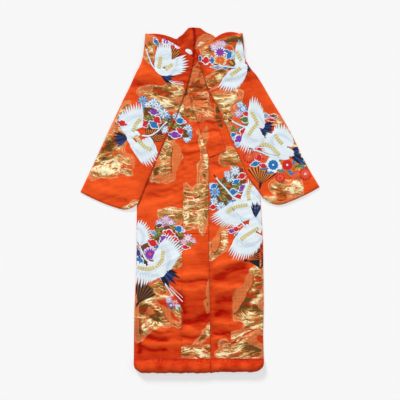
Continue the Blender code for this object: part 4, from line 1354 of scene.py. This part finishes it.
def layout_sleeve_left():
    made = Layout()
    made.each(
        made.maple,
        ((14, 152), 8, 0, "lilac", "white"), ((19, 154), 9, 20, "lilac", "rose"),
        ((23, 155), 7, 40, "lilac", "white"), ((32, 146), 7, 10, "white", "rose"),
        ((43, 91), 9, 10, "sky", "white"), ((38, 86), 8, 25, "lilac", "white"),
        ((40, 95), 7, 25, "white", "sky"), ((34, 62), 7, 0, "white", "sky"),
        ((100, 40), 8, 15, "white", "coral"), ((42, 57), 6, 15, "white", "lilac"),
    )
    made.fan((41, 128), 15, 108, 168, 0.7, ("brown", "gold"), "copper")
    made.each(
        made.mum,
        ((20, 147), 6.0, "purple", "red", 11), ((20, 139), 6.8, "orange", "gold", 15, "cream"),
    )
    made.each(
        made.lozenge,
        ((29, 144), 10, 6, 60, "blue"), ((12, 139), 9, 5, 95, "blue"), ((6, 139), 10, 9, 0, "red"),
        ((0, 141), 7, 4, 95, "ink"), ((17, 132), 14, 4, -4, "steel"), ((26, 132), 8, 4, 10, "blue"),
        ((27, 148), 8, 4, -20, "blue"), ((33, 143), 8, 4, 50, "sky"), ((46, 86), 9, 6, -10, "red"),
        ((45, 80), 12, 7, -5, "green"), ((43, 68), 9, 8, 70, "red"), ((33, 65), 8, 5, 20, "blue"),
        ((39, 61), 11, 9, 35, "purple"), ((65, 84), 8, 6, 10, "steel"), ((73, 84), 9, 4, 0, "brown"),
        ((71, 80), 12, 4, -8, "red"), ((59, 50), 10, 6, 20, "red"), ((59, 42), 10, 8, 10, "red"),
        ((55, 36), 11, 6, 15, "blue"), ((65, 50), 9, 3, -10, "teal"), ((63, 34), 10, 6, -15, "red"),
        ((80, 33), 7, 5, 40, "white"), ((37, 55), 8, 5, 40, "sky"),
    )
    made.each(
        made.leaf,
        ((49, 75), 9, 5, 15, "green"), ((38, 70), 9, 4, 40, "teal"), ((93, 37), 11, 6, 50, "blue"),
        ((91, 27), 12, 7, -20, "blue"), ((98, 34), 10, 6, 35, "green"), ((64, 31), 8, 5, 20, "blue"),
        ((80, 29), 9, 5, -10, "teal"), ((69, 27), 9, 5, 15, "blue"), ((81, 41), 8, 5, 60, "green"),
        ((101, 34), 8, 5, -30, "teal"), ((33, 71), 8, 5, 70, "green"),
    )
    made.each(
        made.mum,
        ((37, 77), 6.0, "orange", "gold", 11, "coral"), ((56, 45), 4.6, "coral", "gold", 11, "wine"),
        ((49, 43), 6.4, "coral", "gold", 13, "red"), ((63, 41), 5.0, "coral", "red", 11, "orange"),
    )
    made.crane(
        (40, 133), 178,
        (
            (((36, 136), (44, 134)), ((36, 155), (39, 159), (42, 156)), ((41, 139), (38, 144), (36, 148))),
            (
                ((32, 129), (45, 132)), ((18, 112), (24, 109), (32, 108), (39, 113), (44, 120)),
                ((40, 131), (35, 127), (30, 124)),
            ),
        ),
        ((36, 132), (31, 132), (25, 133), (20, 134)), ((45, 134), -60, -20, 8), 0.9,
    )
    made.crane(
        (56, 68), 120,
        (
            (
                ((50, 76), (62, 72)), ((50, 101), (54, 103), (58, 99), (62, 92), (64, 82)),
                ((57, 77), (54, 83), (51, 88)),
            ),
            (
                ((50, 76), (62, 64)), ((39, 53), (43, 48), (49, 47), (55, 51), (60, 56)),
                ((57, 76), (52, 70), (48, 64)),
            ),
        ),
        ((50, 73), (45, 73), (39, 75), (33, 78)), ((60, 73), 26, -72, 14), 1.1,
    )
    made.fan((60, 15), 21, 36, 127, 0.94, ("orange", "copper"), "amber", 9)
    made.each(
        made.mum,
        ((73, 35), 8.4, "white", "sky", 9), ((73, 35), 5.2, "blue", "white", 11, "blue", 4.7),
        ((87, 35), 7.6, "gold", "red", 15, "orange"), ((87, 35), 5.4, "red", "white", 11, "red", 4.7),
        ((80, 22), 5.0, "coral", "red", 11, "red"), ((95, 25), 5.2, "coral", "orange", 11, "orange"),
        ((105, 26), 6.8, "coral", "rose", 13, "red"),
    )
    made.crane(
        (84, 48), 170,
        (
            (
                ((74, 56), (91, 54)), ((73, 70), (78, 76), (85, 74), (92, 63)),
                ((82, 56), (78, 60), (75, 65)),
            ),
            (
                ((88, 42), (84, 60)), ((68, 43), (61, 49), (57, 56), (58, 64), (64, 68)),
                ((79, 45), (73, 51), (67, 55), (61, 55)),
            ),
        ),
        ((76, 43), (68, 45), (60, 48), (54, 50)), ((88, 48), 22, -44, 22), 1.2,
    )
    return made


def layout_front_right():
    made = Layout()
    shoulder_fan_and_blossoms(made)
    made.wing(((-64, -36), (-63, -44)), ((-61, -20), (-55, -22), (-50, -29), (-49, -36), (-53, -42)))
    made.each(
        made.fan,
        ((-50, -66), 46, 30, 82, 0.3, ("brown", "brown")),
        ((-50, -66), 24, 82, 160, 0.3, ("brown", "brown"), "brown", 5),
    )
    made.each(
        made.maple,
        ((-40, -24), 10, 0, "lilac", "white"), ((-34, -20), 9, 20, "lilac", "rose"),
        ((-29, -23), 8, 40, "lilac", "white"), ((-12, -38), 10, 0, "rose", "white"),
        ((-16, -42), 8, 20, "rose", "lilac"), ((-7, -41), 7, 20, "rose", "lilac"),
        ((-31, -100), 7, 0, "lilac", "white"), ((-25, -103), 7, 15, "rose", "coral"),
        ((-22, -107), 6, 0, "white", "lilac"), ((-29, -105), 6, 0, "purple", "white"),
    )
    made.each(
        made.lozenge,
        ((-31, -33), 13, 8, -20, "red"), ((-21, -29), 13, 7, -20, "blue"),
        ((-36, -39), 12, 9, 40, "purple"), ((-47, -43), 14, 8, -25, "red"), ((-42, -47), 10, 5, 5, "blue"),
        ((-15, -47), 11, 5, -10, "red"), ((-25, -39), 10, 6, -30, "red"), ((-60, -61), 10, 8, -50, "blue"),
        ((-61.5, -53), 13, 6, -72, "ink"), ((-46, -33), 9, 5, -30, "steel"),
    )
    made.each(
        made.leaf,
        ((-27, -27), 9, 5, -30, "green"), ((-42, -33), 11, 5, -40, "green"),
        ((-40, -29), 8, 4, 10, "green"), ((-20, -34), 8, 4, -25, "green"),
        ((-20, -109), 7, 4, -40, "green"), ((-45, -37), 9, 5, 35, "green"), ((-11, -44), 9, 4, 20, "green"),
    )
    made.mum((-50, -54), 7.4, "purple", "orange", 13, "lilac")
    made.fan((-62, -103), 21, 28, 96, 0.94, ("brown", "brown"), "brown", 6)
    made.crane(
        (-46, -66), 150,
        (
            (
                ((-46, -58), (-40, -76)),
                ((-31, -33), (-25, -37), (-19, -43), (-17, -51), (-22, -59), (-28, -68)),
                ((-44, -67), (-38, -60), (-37, -50)),
            ),
            (
                ((-38, -72), (-62, -62)), ((-46, -80), (-52, -83), (-58, -86), (-64, -84)),
                ((-62, -67), (-54, -69), (-45, -67)),
            ),
        ),
        ((-50, -62), (-54, -59), (-57, -53), (-60, -47)), ((-41, -67), -72, -18, 23), 1.1,
        (((-41, -77), -46, 34), ((-39, -78), -56, 22)),
    )
    return made


def layout_front_left():
    made = Layout()
    made.fan((52, -10), 43, 98, 178, 0.3, ("brown", "brown"))
    made.each(
        made.maple,
        ((35, 29), 10, 0, "white", "white"), ((15, 8), 11, 0, "sky", "blue"),
        ((12, 14), 7, 0, "white", "sky"), ((21, -7), 10, 20, "white", "sky"),
        ((31, -4), 9, 0, "sky", "white"), ((30, 22), 9, 15, "white", "sky"),
        ((27, 26), 7, 5, "white", "lilac"), ((14, -1), 8, 10, "white", "sky"),
    )
    made.each(
        made.lozenge,
        ((33, 8), 11, 7, 10, "blue"), ((42, 24), 11, 7, 20, "red"), ((38, 3), 12, 7, 20, "red"),
        ((43, 12), 11, 8, 40, "purple"), ((13, -7), 9, 6, 10, "red"), ((14, 14), 8, 6, 30, "blue"),
        ((36, 18), 9, 6, 30, "blue"), ((36, -29), 9, 6, 10, "red"), ((39, -34), 10, 5, 14, "blue"),
        ((31, -31), 8, 5, -10, "purple"), ((42, -28), 8, 5, 30, "coral"),
    )
    made.each(
        made.leaf,
        ((23, 2), 12, 6, -30), ((36, 14), 11, 6, 25), ((24, 14), 11, 5, 35), ((26, 8), 10, 5, 0),
        ((20, 18), 8, 4, 50), ((45, -36), 7, 4, 30),
    )
    made.fan((47, -60), 25, -30, 52, 0.96, ("black", "black"), "black", 8)
    for k in range(6):
        made.add(STRIP, (47, -60), 4 + 9 * k, 22, 0.6, "copper", 3.2, 0.3)
    made.crane(
        (50, -29), 130,
        (
            (((50, -26), (60, -32)), ((54, -7), (58, -4), (61, -12)), ()),
            (
                ((44, -28), (60, -36)), ((28, -52), (33, -58), (41, -60), (50, -57), (57, -51), (61, -42)),
                ((58, -28), (50, -33), (41, -39)),
            ),
        ),
        ((47, -28), (43, -24), (39, -18), (35, -12)), ((58, -36), -70, -50, 6), 0.9,
    )
    for k in range(3):
        made.add(STRIP, (52.5 + k * 0.6, -5 - 3.4 * k), 8, 6.4 - k, 0.45, "steel", 9.6, 0.3)
    made.crane(
        (48, -6), 140,
        (
            (
                ((43, -4), (60, -4)), ((43, 8), (46, 17), (50, 22), (55, 18), (60, 6)),
                ((49, 0), (48, 8), (51, 16)),
            ),
            (
                ((46, 2), (52, -16)), ((12, -15), (11, -20), (18, -25), (28, -27), (36, -26), (43, -20)),
                ((47, -5), (39, -6), (31, -9), (27, -13)),
            ),
        ),
        ((40, 0), (33, 3), (27, 10), (21, 16), (17, 21)), ((55.5, -17), 112, 66, 15), 1.1, tail_level=8.2,
    )
    return made


def geometry_group(name, **inputs):
    """A Geometry Nodes tree with named inputs, as kind and default, and their identifiers."""
    tree = bpy.data.node_groups.new(name, "GeometryNodeTree")
    tree.interface.new_socket("Geometry", in_out="INPUT", socket_type="NodeSocketGeometry")
    keys = {}
    for label, (kind, default) in inputs.items():
        socket = tree.interface.new_socket(label, in_out="INPUT", socket_type=f"NodeSocket{kind}")
        keys[label] = socket.identifier
        if default is not None:
            socket.default_value = default
    tree.interface.new_socket("Geometry", in_out="OUTPUT", socket_type="NodeSocketGeometry")
    nodes = Nodes(tree)
    return nodes, nodes.add("NodeGroupInput").outputs, keys


def grow(item, nodes, keys, **values):
    """Runs a Geometry Nodes tree on an item and keeps the plain mesh it makes."""
    modifier = item.modifiers.new(nodes.tree.name, "NODES")
    modifier.node_group = nodes.tree
    for label, value in values.items():
        modifier[keys[label]] = value
    apply_modifiers(item)
    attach(item, "root")


def embroidery_tree(figures):
    """Geometry Nodes: sets the figures on their points and lays them on the cloth."""
    nodes, given, keys = geometry_group(
        "embroider",
        Cloth=("Object", None),
        Cover=("Object", None),
        Level=("Float", 0.0003),
        Floss=("Material", None),
    )

    def named(name, kind):
        return nodes.add("GeometryNodeInputNamedAttribute", {"Name": name}, data_type=kind).outputs[0]

    def ray(label):
        thing = {"Object": given[label]}
        target = nodes.add("GeometryNodeObjectInfo", thing, transform_space="RELATIVE")
        links = {
            "Target Geometry": target.outputs["Geometry"],
            "Source Position": above,
            "Ray Direction": (0.0, 0.0, -1.0),
            "Ray Length": 3.0,
        }
        return nodes.add("GeometryNodeRaycast", links).outputs

    links = {"Collection": figures, "Separate Children": True, "Reset Children": True}
    source = nodes.add("GeometryNodeCollectionInfo", links)
    euler = nodes.add("FunctionNodeEulerToRotation", {0: nodes.joined(z=named("turn", "FLOAT"))})
    links = {
        "Points": given["Geometry"],
        "Instance": source.outputs[0],
        "Pick Instance": True,
        "Instance Index": named("shape", "INT"),
        "Rotation": euler.outputs[0],
        "Scale": named("size", "FLOAT_VECTOR"),
    }
    placed = nodes.add("GeometryNodeInstanceOnPoints", links).outputs[0]
    real = nodes.add("GeometryNodeRealizeInstances", {0: placed}).outputs[0]
    x, y, z = nodes.split(nodes.add("GeometryNodeInputPosition").outputs[0])
    above = nodes.joined(x, y, 1.0)
    on_cloth, on_cover = ray("Cloth"), ray("Cover")
    ground = nodes.split(on_cloth["Hit Position"])[2]
    high = nodes.plus(ground, nodes.times(named("level", "FLOAT"), given["Level"]), z)
    missed = nodes.add("FunctionNodeBooleanMath", {0: on_cloth["Is Hit"]}, operation="NOT").outputs[0]
    links = {0: missed, 1: on_cover["Is Hit"]}
    hidden = nodes.add("FunctionNodeBooleanMath", links, operation="OR").outputs[0]
    links = {"Geometry": real, "Name": "off", "Value": hidden}
    kept = nodes.add("GeometryNodeStoreNamedAttribute", links, data_type="BOOLEAN").outputs[0]
    links = {"Geometry": kept, "Position": nodes.joined(x, y, high)}
    laid = nodes.add("GeometryNodeSetPosition", links).outputs[0]
    links = {"Geometry": laid, "Selection": named("off", "BOOLEAN")}
    clean = nodes.add("GeometryNodeDeleteGeometry", links, domain="POINT").outputs[0]
    done = nodes.add("GeometryNodeSetMaterial", {"Geometry": clean, "Material": given["Floss"]})
    nodes.add("NodeGroupOutput", {0: done.outputs[0]})
    return nodes, keys


def edging_tree():
    """Geometry Nodes: a thin dark tube along an edge, a painted shadow line, in places also lining that
    shows.
    """
    nodes, given, keys = geometry_group("edging", Radius=("Float", 0.0016), Lining=("Material", None))
    curve = nodes.add("GeometryNodeMeshToCurve", {0: given["Geometry"]}).outputs[0]
    ring = nodes.add("GeometryNodeCurvePrimitiveCircle", {"Resolution": 8, "Radius": given["Radius"]})
    links = {"Curve": curve, "Profile Curve": ring.outputs["Curve"], "Fill Caps": True}
    swept = nodes.add("GeometryNodeCurveToMesh", links).outputs[0]
    real = nodes.add("GeometryNodeRealizeInstances", {0: swept}).outputs[0]
    done = nodes.add("GeometryNodeSetMaterial", {"Geometry": real, "Material": given["Lining"]})
    nodes.add("NodeGroupOutput", {0: done.outputs[0]})
    return nodes, keys


def merged(name, items):
    """One plain mesh of several pieces, for the embroidery to lie on."""
    made = bmesh.new()
    for item in items:
        made.from_mesh(item.data)
    mesh = bpy.data.meshes.new(name)
    made.to_mesh(mesh)
    made.free()
    return new_object(name, mesh)


def embroider(name, layout, cloths, covers, nodes, keys, floss):
    """Sews a layout on to its cloths, apart from what the covers hide."""
    relief = bpy.context.scene.uchikake_sizes.floss_relief
    shapes, columns, rows, turns, longs, wides, threads, levels, reliefs, metals = zip(*layout.rows)
    mesh = bpy.data.meshes.new(name)
    mesh.from_pydata([(x * SQUARE, y * SQUARE, 0) for x, y in zip(columns, rows)], [], [])
    highs = [relief * part * min(1.0, 0.35 + wide / 5) for part, wide in zip(reliefs, wides)]
    sizes = [(wide * SQUARE, long * SQUARE, high) for wide, long, high in zip(wides, longs, highs)]
    colours = [(*linear(THREADS[thread]), 1.0) for thread in threads]
    for label, kind, key, values in (
        ("shape", "INT", "value", shapes),
        ("turn", "FLOAT", "value", [math.radians(turn - 90) for turn in turns]),
        ("size", "FLOAT_VECTOR", "vector", sizes),
        ("level", "FLOAT", "value", [1.0 + level for level in levels]),
        ("metal", "FLOAT", "value", metals),
        ("thread", "FLOAT_COLOR", "color", colours),
    ):
        mesh.attributes.new(label, kind, "POINT").data.foreach_set(key, np.ravel(values).tolist())
    item = new_object(name, mesh)
    cloth, cover = merged("laid_on", cloths), merged("covered_by", covers)
    grow(item, nodes, keys, Cloth=cloth, Cover=cover, Floss=floss)
    for guide in (cloth, cover):
        bpy.data.objects.remove(guide, do_unlink=True)
    if not item.data.polygons:
        raise RuntimeError(f"{name} has no figures on the cloth")


def edging(name, x, y, z, nodes, keys, lining):
    """A thin dark tube along a line of points: a painted shadow line, in places also lining that shows."""
    points = np.stack(np.broadcast_arrays(x, y, z), axis=-1)
    mesh = bpy.data.meshes.new(name)
    mesh.from_pydata(points.tolist(), [(k, k + 1) for k in range(len(points) - 1)], [])
    item = new_object(name, mesh)
    grow(item, nodes, keys, Lining=lining)
    smooth_faces(item.data)


# ---------------------------------------------------------------- sizes and operators


def length_property(name, description, default, least=0.0):
    return FloatProperty(name=name, description=description, default=default, unit="LENGTH", min=least)


def colour_property(name, description, colour):
    return FloatVectorProperty(
        name=name, description=description, default=linear(colour), subtype="COLOR", size=3
    )


class UchikakeSizes(bpy.types.PropertyGroup):
    """Sizes and colours that a maker changes."""

    silk_thickness: length_property("Silk thickness", "Lined cloth", 0.0018, 0.0005)
    crease_height: FloatProperty(
        name="Crease height", description="Scales every crease", default=1.0, subtype="FACTOR", min=0.0
    )
    floss_relief: length_property("Floss relief", "Height of a padded stitch", 0.0010)
    silk: colour_property("Silk", "Ground colour", (240, 88, 34))
    deep_silk: colour_property("Deep silk", "Ground in its deeper places", (158, 0, 0))
    gold_bright: colour_property("Bright gold", "Metal yarn at its brightest", (255, 246, 206))
    gold_middle: colour_property("Gold", "Metal yarn", (198, 138, 72))
    gold_pale: colour_property("Pale gold", "Metal yarn in light", (246, 210, 146))
    gold_dark: colour_property("Dark gold", "Metal yarn in shade", (104, 72, 36))


MADE = {}  # pieces by their node, shared groups and materials by name


def keep(item, node, material):
    """Puts a finished piece in its node's place."""
    item.data.materials.clear()
    item.data.materials.append(material)
    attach(item, "root")
    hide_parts(node)
    MADE[node] = item
    return item


def shared_groups():
    if "groups" not in MADE:
        MADE["groups"] = {
            "weave": weave_group(),
            "crinkle": crinkle_group(),
            "cloud": cloud_group(),
            "stitch": stitch_group(),
        }
    return MADE["groups"]


def dress(item, node, name="silk_brocade", gold_share=1.0):
    """Lines a sheet, and gives it its silk and its node's place."""
    lined(item, bpy.context.scene.uchikake_sizes.silk_thickness)
    if name not in MADE:
        MADE[name] = silk_material(name, shared_groups(), gold_share)
    return keep(item, node, MADE[name])


class UCHIKAKE_OT_body(bpy.types.Operator):
    """Lays out the two body lengths"""

    bl_idname = "uchikake.body"
    bl_label = "Body lengths"

    def execute(self, context):
        for name, side, inner, towards, bow, seed in (
            ("body_right", RIGHT_SIDE, RIGHT_INNER, 1, 0.012, 1.0),
            ("body_left", LEFT_SIDE, LEFT_INNER, -1, 0.020, 2.6),
        ):
            item = dress(body_length(name, side, inner, towards, bow, seed), name)
        return {"FINISHED"}


class UCHIKAKE_OT_okumi(bpy.types.Operator):
    """Lays out the two narrow front panels"""

    bl_idname = "uchikake.okumi"
    bl_label = "Okumi"

    def execute(self, context):
        def over(x, y):
            above = y - TUCK_Y
            tuck = np.where(above >= 0, np.clip(1 - above / TUCK_LONG, 0, 1) ** 1.5, 0)
            return overlap_height(x, y) + TUCK_HIGH * tuck

        def under(x, y):
            return FRONT_Z + swell(x, y) - 0.0006

        heights = np.linspace(HEM_SEAM_Y + SEAM, RIGHT_OKUMI_EDGE[0][0] - 0.012, OKUMI_ROWS)
        heights = np.sort(np.concatenate([heights, [TUCK_Y - 0.0012, TUCK_Y]]))
        for name, seam, edge, towards, level, seed in (
            ("okumi_right", RIGHT_INNER, RIGHT_OKUMI_EDGE, 1, over, 1.3),
            ("okumi_left", LEFT_INNER, LEFT_OKUMI_EDGE, -1, under, 2.9),
        ):
            seam_x = edge_x(seam, heights) + towards * SEAM / 2
            free_x = edge_x(edge, heights) - towards * SEAM
            item = dress(panel(name, heights, seam_x, free_x, level, seed), name)
        return {"FINISHED"}


class UCHIKAKE_OT_collar(bpy.types.Operator):
    """Lays out the collar"""

    bl_idname = "uchikake.collar"
    bl_label = "Collar"

    def execute(self, context):
        for name, band, z, seed, area in (
            ("collar_left", LEFT_COLLAR, FRONT_Z, 4.1, 0.062),
            ("collar_right", RIGHT_COLLAR, OVER_Z, 3.4, 0.084),
        ):
            item = dress(collar_band(name, band, z, seed), name, "collar_silk", 0.64)
        return {"FINISHED"}


SLEEVES = (
    # side, outer fold, cuff, body's side, direction, bow of the shoulder fold, creases, seed
    ("right", RIGHT_SLEEVE_OUTER, RIGHT_SLEEVE_CUFF, RIGHT_SIDE, -1, 0.025, SLEEVE_RIGHT_CREASES, 5.2),
    ("left", LEFT_SLEEVE_OUTER, LEFT_SLEEVE_CUFF, LEFT_SIDE, 1, 0.015, SLEEVE_LEFT_CREASES, 6.3),
)


class UCHIKAKE_OT_sleeves(bpy.types.Operator):
    """Folds the two sleeves in over the fronts"""

    bl_idname = "uchikake.sleeves"
    bl_label = "Sleeves"

    def execute(self, context):
        for which, *values in SLEEVES:
            name = f"sleeve_{which}"
            item = dress(sleeve(name, *values), name)
        return {"FINISHED"}


class UCHIKAKE_OT_hem(bpy.types.Operator):
    """Makes the padded rolls of the hem"""

    bl_idname = "uchikake.hem"
    bl_label = "Hem rolls"

    def execute(self, context):
        silk = silk_material("hem_silk", shared_groups(), 0.0)
        for name, start, end, front, seed in (
            ("hem_roll_back", ROLL_LOW.x, ROLL_HIGH.x, False, 1.0),
            ("hem_roll_right", ROLL_LOW.x, FRONT_EDGE_X, True, 2.0),
            ("hem_roll_left", FRONT_EDGE_X + SEAM, ROLL_HIGH.x, True, 3.0),
        ):
            item = keep(hem_roll(name, start, end, front, seed), name, silk)
        return {"FINISHED"}


class UCHIKAKE_OT_edges(bpy.types.Operator):
    """Lays thin dark red tubes along the cuffs, the front edge, the tuck, the collar and the hem seam:
    painted shadow lines of these edges, at the cuffs also the lining that shows
    """

    bl_idname = "uchikake.edges"
    bl_label = "Lining edges"

    def execute(self, context):
        nodes, keys = edging_tree()
        # Dark red of the strips: painted shadow lines along the edges, at the cuffs also the lining that
        # shows.
        material, _, shader = new_material("lining_edge")
        shader.inputs["Base Color"].default_value = (*linear((120, 14, 4)), 1)
        shader.inputs["Roughness"].default_value = 0.6
        on_top = OVER_Z - 0.0002
        lines = []
        for which, _, cuff, side, away, *_ in SLEEVES:
            flat = along(rounded_line(cuff), 0.05 + 0.94 * np.linspace(0.012, 0.985, 150))
            x, y = flat[:, 0] - 0.0006 * away, flat[:, 1]
            z = resting_height(x, y, side, away) + WALL / 2 + STEP * 0.5
            lines.append((f"cuff_edge_{which}", x, y, z))
        y = np.linspace(HEM_SEAM_Y + 0.004, 0.22, 150)
        x = edge_x(RIGHT_OKUMI_EDGE, y) + 0.0004
        lines.append(("front_edge", x, y, on_top + swell(x, y)))
        ends = edge_x(RIGHT_INNER, TUCK_Y) + 0.003, edge_x(RIGHT_OKUMI_EDGE, TUCK_Y) - 0.002
        x, y = np.linspace(*ends, 40), TUCK_Y - 0.0016
        lines.append(("tuck_edge", x, y, overlap_height(x, y) + 0.0024))
        seam, free = np.array(RIGHT_COLLAR[-1][:2]), np.array(RIGHT_COLLAR[-1][2:])
        flat = seam + (free - seam) * np.linspace(0.03, 0.98, 30)[:, None] - np.array([0.0, 0.0008])
        lines.append(("collar_edge_end", *flat.T, on_top))
        for name, start, end, high in (
            ("hem_seam_right", ROLL_LOW.x + 0.008, FRONT_EDGE_X - 0.001, 0.0096),
            ("hem_seam_left", FRONT_EDGE_X + 0.001, ROLL_HIGH.x - 0.008, 0.0092),
        ):
            lines.append((name, np.linspace(start, end, 120), HEM_SEAM_Y, high))
        table = np.array(RIGHT_COLLAR)
        for name, columns in (("collar_edge_free", slice(2, 4)), ("collar_edge_seam", slice(0, 2))):
            flat = along(rounded_line(table[:, columns]), np.linspace(0.02, 0.99, 120))
            lines.append((name, *flat.T, on_top))
        for line in lines:
            edging(*line, nodes, keys, material)
        return {"FINISHED"}


class UCHIKAKE_OT_embroidery(bpy.types.Operator):
    """Embroiders the cranes, fans and blossoms"""

    bl_idname = "uchikake.embroidery"
    bl_label = "Embroidery"

    def execute(self, context):
        figures = figure_collection()
        nodes, keys = embroidery_tree(figures)
        floss = embroidery_material(shared_groups())
        sleeves = [MADE["sleeve_right"], MADE["sleeve_left"]]
        over = [MADE["okumi_right"], MADE["collar_right"], MADE["body_right"]]
        far_away = bpy.data.meshes.new("nothing")
        far_away.from_pydata([(9, 9, 0), (9.01, 9, 0), (9, 9.01, 0)], [], [(0, 1, 2)])
        nothing = bpy.data.objects.new("nothing", far_away)
        for name, layout, cloths, covers in (
            ("sleeve_right", layout_sleeve_right(), sleeves[:1], [nothing]),
            ("sleeve_left", layout_sleeve_left(), sleeves[1:], [nothing]),
            ("neck", layout_neck(), over[1:], [nothing]),
            ("front_right", layout_front_right(), [MADE["body_right"], MADE["okumi_right"]], sleeves),
            ("front_left", layout_front_left(), [MADE["body_left"], MADE["okumi_left"]], sleeves + over),
        ):
            embroider(f"embroidery_{name}", layout, cloths, covers, nodes, keys, floss)
        bpy.data.objects.remove(nothing)
        for item in list(figures.objects):
            bpy.data.objects.remove(item, do_unlink=True)
        bpy.data.collections.remove(figures)
        return {"FINISHED"}


class UCHIKAKE_OT_stage(bpy.types.Operator):
    """Sets the floor, the lights and the camera"""

    bl_idname = "uchikake.stage"
    bl_label = "Stage"

    def execute(self, context):
        scene = context.scene
        bpy.ops.mesh.primitive_plane_add(size=40, location=(0, 0, -0.0006))
        floor = context.object
        floor.name = "floor"
        material, _, shader = new_material("pale_floor")
        shader.inputs["Base Color"].default_value = (0.34, 0.34, 0.34, 1)
        shader.inputs["Emission Color"].default_value = (1, 1, 1, 1)
        shader.inputs["Emission Strength"].default_value = 0.575
        shader.inputs["Roughness"].default_value = 0.9
        shader.inputs["Specular IOR Level"].default_value = 0.1
        floor.data.materials.append(material)
        world = bpy.data.worlds.new("studio")
        world.use_nodes = True
        sky = Nodes(world.node_tree)
        side, _, height = sky.split(sky.add("ShaderNodeTexCoord").outputs["Generated"])
        panels = sky.times(sky.step(height, 0.40, 0.58), sky.minus(1.0, sky.step(height, 0.80, 0.93)))
        panels = sky.times(panels, sky.plus(0.55, sky.times(sky.math("ABSOLUTE", side), 0.9)))
        back = world.node_tree.nodes["Background"]
        back.inputs["Color"].default_value = (1, 1, 1, 1)
        world.node_tree.links.new(sky.plus(0.22, sky.times(panels, 0.30)), back.inputs["Strength"])
        scene.world = world
        for name, aim, power, angle in (
            ("key", (0.42, -1.0, -0.62), 3.25, 12),
            ("fill", (-0.9, -0.35, -0.8), 0.55, 40),
            ("low", (0.1, 1.0, -0.7), 0.30, 40),
        ):
            lamp = bpy.data.lights.new(name, "SUN")
            lamp.energy = power
            lamp.angle = math.radians(angle)
            item = new_object(name, lamp)
            item.location = Vector(aim) * -2
            item.rotation_euler = Vector(aim).to_track_quat("-Z", "Y").to_euler()
        camera = bpy.data.cameras.new("camera")
        camera.lens = 85
        camera.sensor_width = 36
        camera.clip_end = 60
        item = new_object("camera", camera)
        item.location = (0, 0, CHART_WIDE * SQUARE * camera.lens / camera.sensor_width)
        scene.camera = item
        scene.view_settings.view_transform = "Standard"
        return {"FINISHED"}


class UCHIKAKE_PT_panel(bpy.types.Panel):
    """Lists the steps of making the robe"""

    bl_label = "Uchikake"
    bl_idname = "UCHIKAKE_PT_panel"
    bl_space_type = "VIEW_3D"
    bl_region_type = "UI"
    bl_category = "Uchikake"

    def draw(self, context):
        sizes = context.scene.uchikake_sizes
        for name in UchikakeSizes.__annotations__:
            self.layout.prop(sizes, name)
        for step_class in STEPS:
            self.layout.operator(step_class.bl_idname)


STEPS = (
    UCHIKAKE_OT_body,
    UCHIKAKE_OT_okumi,
    UCHIKAKE_OT_collar,
    UCHIKAKE_OT_sleeves,
    UCHIKAKE_OT_hem,
    UCHIKAKE_OT_edges,
    UCHIKAKE_OT_embroidery,
    UCHIKAKE_OT_stage,
)


def register():
    for item in (UchikakeSizes, *STEPS, UCHIKAKE_PT_panel):
        bpy.utils.register_class(item)
    bpy.types.Scene.uchikake_sizes = PointerProperty(type=UchikakeSizes)


def unregister():
    del bpy.types.Scene.uchikake_sizes
    for item in (UCHIKAKE_PT_panel, *reversed(STEPS), UchikakeSizes):
        bpy.utils.unregister_class(item)


def main():
    register()
    for step_class in STEPS:
        group, action = step_class.bl_idname.split(".")
        getattr(getattr(bpy.ops, group), action)()


if __name__ == "__main__":
    main()
